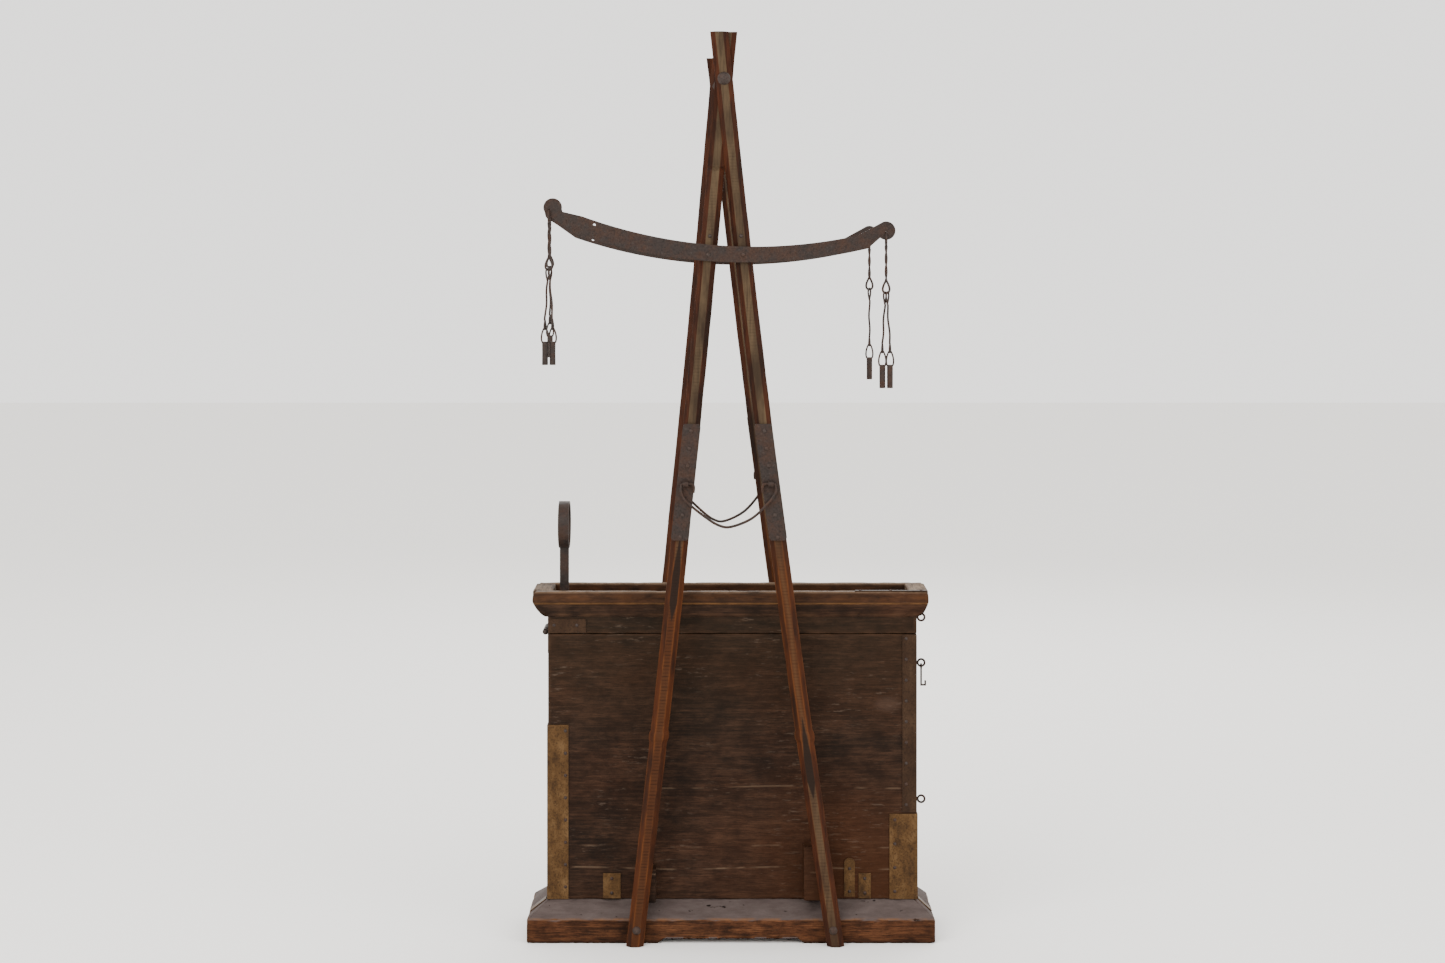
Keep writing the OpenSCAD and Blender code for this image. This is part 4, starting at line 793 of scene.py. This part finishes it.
class RACK_OT_poles(bpy.types.Operator):
    """Faceted poles with rounded arrises, cuts on the band and a raised knuckle"""
    bl_idname = "rack.poles"
    bl_label = "Poles"
    rows: IntProperty(name="Rows", description="Rows along a pole", default=1250, min=100)

    def execute(self, context):
        s = context.scene.rack_sizes
        for node, foot, sag, seed in (("front_pole_right", s.foot_right, s.sag_right, 1),
                                      ("front_pole_left", s.foot_left, s.sag_left, 2),
                                      ("rear_pole_right", s.foot_right, s.sag_right, 3),
                                      ("rear_pole_left", s.foot_left, s.sag_left, 4)):
            self.pole(node, foot, sag, seed, s)
        return {"FINISHED"}

    def pole(self, node, foot, sag, seed, s):
        """A point is middle(z) + full(z) * outline(k) - cuts, where outline is the eight-sided
        section with each corner rounded, full swells at the knuckle and the top, and cuts are
        shallow dips across the band."""
        low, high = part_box(node)
        rear = node.startswith("rear")
        z = np.linspace(low[2], high[2], self.rows)
        w, t, b, e = s.pole_width / 2, s.pole_depth / 2, s.pole_band / 2, s.pole_edge / 2
        corners = np.array([(-b, -t), (b, -t), (w, -e), (w, e), (b, t), (-b, t), (-w, e), (-w, -e)])
        nxt = np.roll(corners, -1, 0)
        fine = np.concatenate([[0, 0.04, 0.1], np.linspace(0.18, 0.82, 8), [0.9, 0.96]])
        few = np.array([0, 0.07, 0.2, 0.5, 0.8, 0.93])
        ring, band, corner_at = [], [], []
        for k in range(8):
            share = (fine if k in (0, 4) else few)[:, None]
            ring.append(corners[k] * (1 - share) + nxt[k] * share)
            band.append(np.full(len(share), 1.0 if k in (0, 4) else 0.0))
            reach = np.minimum(share, 1 - share)[:, 0] * np.linalg.norm(nxt[k] - corners[k])
            corner_at.append(np.exp(-reach / 0.0008))
        ring, band, corner_at = np.concatenate(ring), np.concatenate(band), np.concatenate(corner_at)
        soft = (np.roll(ring, 1, 0) + 2 * ring + np.roll(ring, -1, 0)) / 4
        soft = ring + (soft - ring) * 0.9
        knuckle = np.exp(-((z - KNUCKLE_Z) / 0.0058) ** 4)
        full = 1 + 0.14 * knuckle + 0.05 * np.clip((z - s.cross_z - 0.0105) / 0.05, 0, 1)
        full = full - 0.010 * (1 + np.sin(z * 61 + seed) * np.sin(z * 23 + 2 * seed)) * (1 - knuckle)
        phase = z / CUT_PITCH + 0.5 * np.sin(z * 37 + seed) + seed
        comb = np.clip(np.cos(2 * np.pi * phase) - 0.35, 0, None) / 0.65
        left = foot < 0
        zone = (0.75 if left else 0.45) * np.clip((SPLICE_Z - z) / 0.05, 0, 1)
        zone = zone + 0.35 * np.clip(np.sin(z * 31 + seed * 1.7), 0, 1) * np.clip((z - SPLICE_Z) / 0.05, 0, 1)
        zone = zone * (1 - knuckle) * np.clip((z - 0.035) / 0.02, 0, 1)
        depth = comb * np.clip(zone, 0, 1) * (0.7 + 0.3 * np.sin(z * 411 + seed))
        cut = depth[:, None] * (band * (1 - 0.6 * corner_at))[None]
        x = full[:, None] * soft[None, :, 0]
        y = full[:, None] * soft[None, :, 1] * (1 - 0.05 * cut)
        # a pointed tongue of dark finish, long on one side of the band
        tip, root = (0.420, 0.482) if left else (0.190, 0.246)
        grow = np.clip((z - tip) / (root - tip) * 2.2, 0, 1)
        fade = np.clip((root + 0.06 - z) / 0.06, 0, 1)
        half_width = b * 1.15 * grow * fade
        tongue = np.clip((half_width[:, None] - np.abs(soft[None, :, 0])) / 0.0008, 0, 1) * band[None]
        stripe = np.exp(-((soft[None, :, 0] + 0.0012 * np.sin(z[:, None] * 41)) / 0.0026) ** 2) * band[None]
        stripe = stripe * np.clip((z[:, None] - root) / 0.02, 0, 1)
        middle = pole_x(z, foot, sag, s)
        mates = (s.foot_left, s.sag_left) if foot > 0 else (s.foot_right, s.sag_right)
        apart = np.abs(middle - pole_x(z, *mates, s))
        over = np.clip((2.04 * w - apart) / (0.12 * w), 0, 1)[:, None]
        half = np.minimum(y, -0.0001) if foot > 0 else np.maximum(y, 0.0001)
        y = y * (1 - over) + half * over
        side = 1.0 if rear else -1.0
        shift = s.rear_shift if rear else 0.0
        verts = np.stack([middle[:, None] + x + shift, side * s.frame_y - side * y,
                          np.broadcast_to(z[:, None], x.shape)], -1)
        rough = lumps(verts, 0.045, seed) * 0.00022
        verts[..., 0] -= np.sign(x) * np.clip(rough, 0, 1)
        n = len(ring)
        shade = {
            "band": np.broadcast_to(band, x.shape),
            "arris": np.broadcast_to(corner_at, x.shape),
            "cut": cut,
            "tongue": tongue,
            "stripe": stripe,
            "low": np.broadcast_to((np.clip((SPLICE_Z - z) / 0.08, 0, 1) * (1 if left else
                                   np.clip((z - 0.2) / 0.08, 0.25, 1)))[:, None], x.shape),
        }
        caps = [np.arange(n)[::-1], np.arange(n) + (self.rows - 1) * n]
        piece = make_mesh(node + "_carved", verts, grid_faces(self.rows, n, wrap_cols=True), caps, shade)
        outwards(piece)
        show(piece, materials()["pole_wood"], "pole_wood", BODIES[node], node)


class RACK_OT_bails(bpy.types.Operator):
    """Swags of round iron that hang from the splice plates"""
    bl_idname = "rack.bails"
    bl_label = "Bails"

    def execute(self, context):
        for node in ("front_bail", "rear_bail"):
            self.bail(node)
        return {"FINISHED"}

    def bail(self, node):
        """Smooth curve through a tail, the lug, the side, the swag and the same again mirrored,
        with a radius that thins towards the tails."""
        low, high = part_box(node)
        pivot = JOINT_POS[node + "_swing"]
        r = 0.00175
        y, top, bottom = pivot[1], pivot[2], low[2] + r
        x0, x1 = low[0] + r + 0.0004, high[0] - r - 0.0004
        tail, run = 0.0113, 0.0162

        def end(x, inward):
            """From the tail's tip through the lug to the side; inward is 1 or -1 along X."""
            return [(x + inward * run, top - tail), (x + inward * run, top - 0.0032),
                    (x + inward * run - inward * 0.0026, top), (x + inward * 0.0024, top),
                    (x - inward * 0.0001, top - 0.0030), (x, top - 0.0105)]

        left, right = end(x0, 1), end(x1, -1)
        mid = (x0 + x1) / 2
        drop = top - bottom
        swag = [(x0 + 0.006, top - 0.40 * drop), (x0 + 0.030, top - 0.76 * drop),
                (mid - 0.012, top - 0.97 * drop), (mid + 0.004, bottom),
                (x1 - 0.030, top - 0.80 * drop), (x1 - 0.008, top - 0.42 * drop)]
        way = soft_path(left + swag + right[::-1], per=10)
        path = np.stack([way[:, 0], np.full(len(way), y), way[:, 1]], -1)
        share = np.linspace(-1, 1, len(way))
        radius = r * (1 - 0.28 * np.clip((np.abs(share) - 0.93) / 0.07, 0, 1))
        radius = radius * (1 + 0.04 * lumps(path, 0.02, 5))
        verts, quads, caps = wire_arrays([(sweep(path, radius, np.array([0.0, 1.0, 0.0]), sides=14), False)])
        piece = outwards(make_mesh(node + "_wire", verts, quads, caps))
        show(piece, materials()["link_iron"], "forged_iron", BODIES[node], node)


class RACK_OT_ironwork(bpy.types.Operator):
    """Bows, splice plates, handle, hinge, eyes, bolts, rivets and tacks"""
    bl_idname = "rack.ironwork"
    bl_label = "Ironwork"

    def execute(self, context):
        m = materials()
        for node in ("front_bow", "rear_bow", "loop_handle"):
            eased(node, m["forged_iron"], "forged_iron", 0.0007)
        eased("splice_plates", m["forged_iron"], "forged_iron", 0.0005)
        for node in ("lid_hinge_leaf", "body_hinge_leaf", "lid_eye", "body_eyes", "latch_hook"):
            repaint(node, m["link_iron"])
        repaint("right_edge_strip", m["strip_metal"])
        for node in ("hinge_pin", "pole_bolts", "frame_rivets", "lid_tacks", "body_tacks",
                     "handle_rivets"):
            repaint(node, m["worn_iron"])
        return {"FINISHED"}


def drop_loop(width, height, turn=0.0, count=40):
    """Closed wire eye: x = width * sin(t) * sin(t/2)^1.4, z = height/2 * (cos(t) - 1), which is
    pointed at the top and round at the bottom, turned about the upright by turn."""
    t = np.linspace(0, 2 * np.pi, count, endpoint=False)
    x = width * np.sin(t) * np.abs(np.sin(t / 2)) ** 1.4
    z = height / 2 * (np.cos(t) - 1)
    side = np.array([-math.sin(turn), math.cos(turn), 0.0])
    return np.stack([x * math.cos(turn), x * math.sin(turn), z], -1), side


class RACK_OT_links(bpy.types.Operator):
    """Hanging wire links with long eyes, and the pendants' tubes"""
    bl_idname = "rack.links"
    bl_label = "Hanging links"

    def execute(self, context):
        s = context.scene.rack_sizes
        for node in sorted(BODIES):
            if node.startswith("upper_link"):
                self.upper(node, s)
            elif node.startswith("lower_link"):
                self.lower(node)
            elif node.startswith("pendant"):
                self.pendant(node)
        return {"FINISHED"}

    def upper(self, node, s):
        """A hook loop through the disc in the YZ plane, two wires twisted down, and an eye."""
        top = JOINT_POS[node + "_swing"]
        r = s.wire
        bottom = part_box(node)[0][2] + r
        drop = top[2] - bottom
        t = np.linspace(0, 2 * np.pi, 44, endpoint=False)
        # the loop passes through the hole and closes under the disc
        y = 0.0062 * np.sin(t) * (0.55 + 0.45 * np.abs(np.cos(t / 2)) ** 0.5)
        z = 0.0085 * (np.cos(t) - 1)
        hook = np.stack([np.zeros_like(t), y, z], -1) + top
        parts = [(sweep(hook, r, np.array([1.0, 0, 0]), closed=True), True)]
        h = np.linspace(-0.0165, -drop + 0.0165, 60)
        for phase in (0.0, np.pi):
            a = h * 190 + phase
            stem = np.stack([0.0009 * np.cos(a), 0.0009 * np.sin(a), h], -1) + top
            parts.append((sweep(stem, 0.0012, np.array([0.0, 1.0, 0])), False))
        eye, side = drop_loop(0.0062, 0.0175)
        parts.append((sweep(eye + top - [0, 0, drop - 0.0175], r * 0.95, side, closed=True), True))
        self.build(node, parts)

    def lower(self, node):
        """A long eye over the upper link's eye, a slightly wavy wire, and an eye below."""
        top = JOINT_POS[node + "_swing"]
        end = JOINT_POS[node.replace("lower_link", "pendant") + "_swing"]
        r = 0.00115
        eye, side = drop_loop(0.0048, 0.016, turn=math.radians(58))
        eye = eye * [1, 1, -1] + [0, 0, -0.0145]
        parts = [(sweep((eye + top)[::-1], r, side, closed=True), True)]
        t = np.linspace(0, 1, 50)[:, None]
        start = top + [0, 0, -0.0145]
        finish = end + [0, 0, 0.0085]
        wave = 0.0006 * np.sin(t * np.pi * 2.6 + top[0] * 40)
        line = start + (finish - start) * t + np.concatenate([wave, 0 * t, 0 * t], 1)
        parts.append((sweep(line, r * 1.15, np.array([0.0, 1.0, 0])), False))
        small, side = drop_loop(0.0036, 0.0125, turn=math.radians(70))
        parts.append((sweep(small + end + [0, 0, 0.0095], r, side, closed=True), True))
        self.build(node, parts)

    def pendant(self, node):
        """A wire bail into the closed top of a tube that is open below."""
        top = JOINT_POS[node + "_swing"]
        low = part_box(node)[0]
        r = 0.0011
        outer, bore = 0.0039, 0.0026
        tube_top = top[2] - 0.019
        t = np.linspace(-1, 1, 60)
        x = 0.0040 * np.sin(np.pi * (1 - np.abs(t)) ** 0.75) ** 0.8 * np.sign(t) + 0.0024 * t ** 3
        z = -0.0205 * np.abs(t) ** 1.15
        bail = np.stack([x, 0 * t, z], -1) + top
        parts = [(sweep(bail, r, np.array([0.0, 1.0, 0])), False)]
        self.build(node, parts, tube=(top, tube_top, low[2], outer, bore))

    def build(self, node, parts, tube=None):
        verts, quads, caps = wire_arrays(parts)
        if tube:
            top, z1, z0, outer, bore = tube
            # profile of the tube: round top, outer wall, rim, bore and its closed end
            profile = np.array([(0.0, z1 + 0.0004), (outer * 0.7, z1 + 0.0003), (outer * 0.96, z1 - 0.0003),
                                (outer, z1 - 0.0012), (outer * 0.985, (z1 + z0) / 2), (outer, z0 + 0.0008),
                                (outer * 0.97, z0), (bore * 1.05, z0), (bore, z0 + 0.001),
                                (bore, z0 + 0.024), (0.0, z0 + 0.0245)])
            a = np.linspace(0, 2 * np.pi, 28, endpoint=False)
            dent = 1 + 0.02 * np.sin(2 * a[None] + profile[:, 1:2] * 300)
            height = np.broadcast_to(profile[:, 1:2], (len(profile), len(a)))
            grid = np.stack([top[0] + profile[:, :1] * np.cos(a) * dent,
                             top[1] + profile[:, :1] * np.sin(a) * dent, height], -1)
            wall = grid_faces(len(profile), len(a), wrap_cols=True)[:, ::-1]
            quads = np.concatenate([quads, wall + len(verts)])
            verts = np.concatenate([verts, grid.reshape(-1, 3)])
        piece = make_mesh(node + "_wire", verts, quads, caps)
        show(piece, materials()["link_iron"], "forged_iron", BODIES[node], node)


class RACK_OT_plates(bpy.types.Operator):
    """Tarnished repair plates, corner straps and lid straps"""
    bl_idname = "rack.plates"
    bl_label = "Repair plates"

    def execute(self, context):
        m = materials()
        for node in ("left_corner_strap", "right_corner_strap", "repair_plates", "plinth_straps"):
            repaint(node, m["old_brass"])
        repaint("lid_straps", m["strip_metal"])
        return {"FINISHED"}


class RACK_OT_stage(bpy.types.Operator):
    """Pale floor, soft light and the camera"""
    bl_idname = "rack.stage"
    bl_label = "Stage"

    def execute(self, context):
        scene = context.scene
        c = scene.rack_colours
        reach = 12.0
        corner = np.array([(-reach, -reach, 0), (reach, -reach, 0), (reach, reach, 0), (-reach, reach, 0)])
        floor = make_mesh("floor", corner, np.array([[0, 1, 2, 3]]), smooth=False)
        floor.data.materials.append(plain("floor", c.floor, 0.7))
        world = bpy.data.worlds.new("studio")
        world.use_nodes = True
        world.node_tree.nodes["Background"].inputs["Color"].default_value = (1.0, 0.985, 0.96, 1)
        world.node_tree.nodes["Background"].inputs["Strength"].default_value = 1.9
        scene.world = world
        lamps = (("key", (-1.6, -2.6, 2.6), 2.2, 95), ("fill", (2.4, -2.2, 1.6), 2.0, 38),
                 ("back", (0.5, 2.6, 2.4), 2.0, 45))
        for name, place, size, power in lamps:
            lamp = bpy.data.lights.new(name, "AREA")
            lamp.size = size
            lamp.energy = power
            holder = bpy.data.objects.new(name, lamp)
            holder.location = place
            aim = np.array((0, 0, 0.55)) - np.array(place)
            flat = math.hypot(aim[0], aim[1])
            holder.rotation_euler = (math.atan2(flat, -aim[2]), 0, math.atan2(-aim[0], aim[1]))
            scene.collection.objects.link(holder)
        camera = bpy.data.cameras.new("camera")
        camera.lens = 65
        camera.sensor_width = 36
        holder = bpy.data.objects.new("camera", camera)
        holder.location = (-0.011, -3.475, 0.904)
        holder.rotation_euler = (math.radians(90), 0, 0)
        camera.shift_y = -0.160
        scene.collection.objects.link(holder)
        scene.camera = holder
        return {"FINISHED"}


class RACK_PT_panel(bpy.types.Panel):
    """Lists the steps in the sidebar"""
    bl_idname = "RACK_PT_panel"
    bl_label = "A-frame rack"
    bl_space_type = "VIEW_3D"
    bl_region_type = "UI"
    bl_category = "Rack"

    def draw(self, context):
        for step in STEPS:
            self.layout.operator(step)


STEPS = ("rack.stage", "rack.chest", "rack.lid", "rack.plinth", "rack.poles", "rack.bails",
         "rack.ironwork", "rack.plates", "rack.links")
CLASSES = (RackSizes, RackColours, RACK_OT_stage, RACK_OT_chest, RACK_OT_lid, RACK_OT_plinth,
           RACK_OT_poles, RACK_OT_bails, RACK_OT_ironwork, RACK_OT_plates, RACK_OT_links,
           RACK_PT_panel)


def register():
    for cls in CLASSES:
        bpy.utils.register_class(cls)
    bpy.types.Scene.rack_sizes = PointerProperty(type=RackSizes)
    bpy.types.Scene.rack_colours = PointerProperty(type=RackColours)


def unregister():
    del bpy.types.Scene.rack_sizes
    del bpy.types.Scene.rack_colours
    for cls in reversed(CLASSES):
        bpy.utils.unregister_class(cls)


def main():
    """Runs every step in order."""
    register()
    for step in STEPS:
        group, name = step.split(".")
        getattr(getattr(bpy.ops, group), name)()


if __name__ == "__main__":
    main()
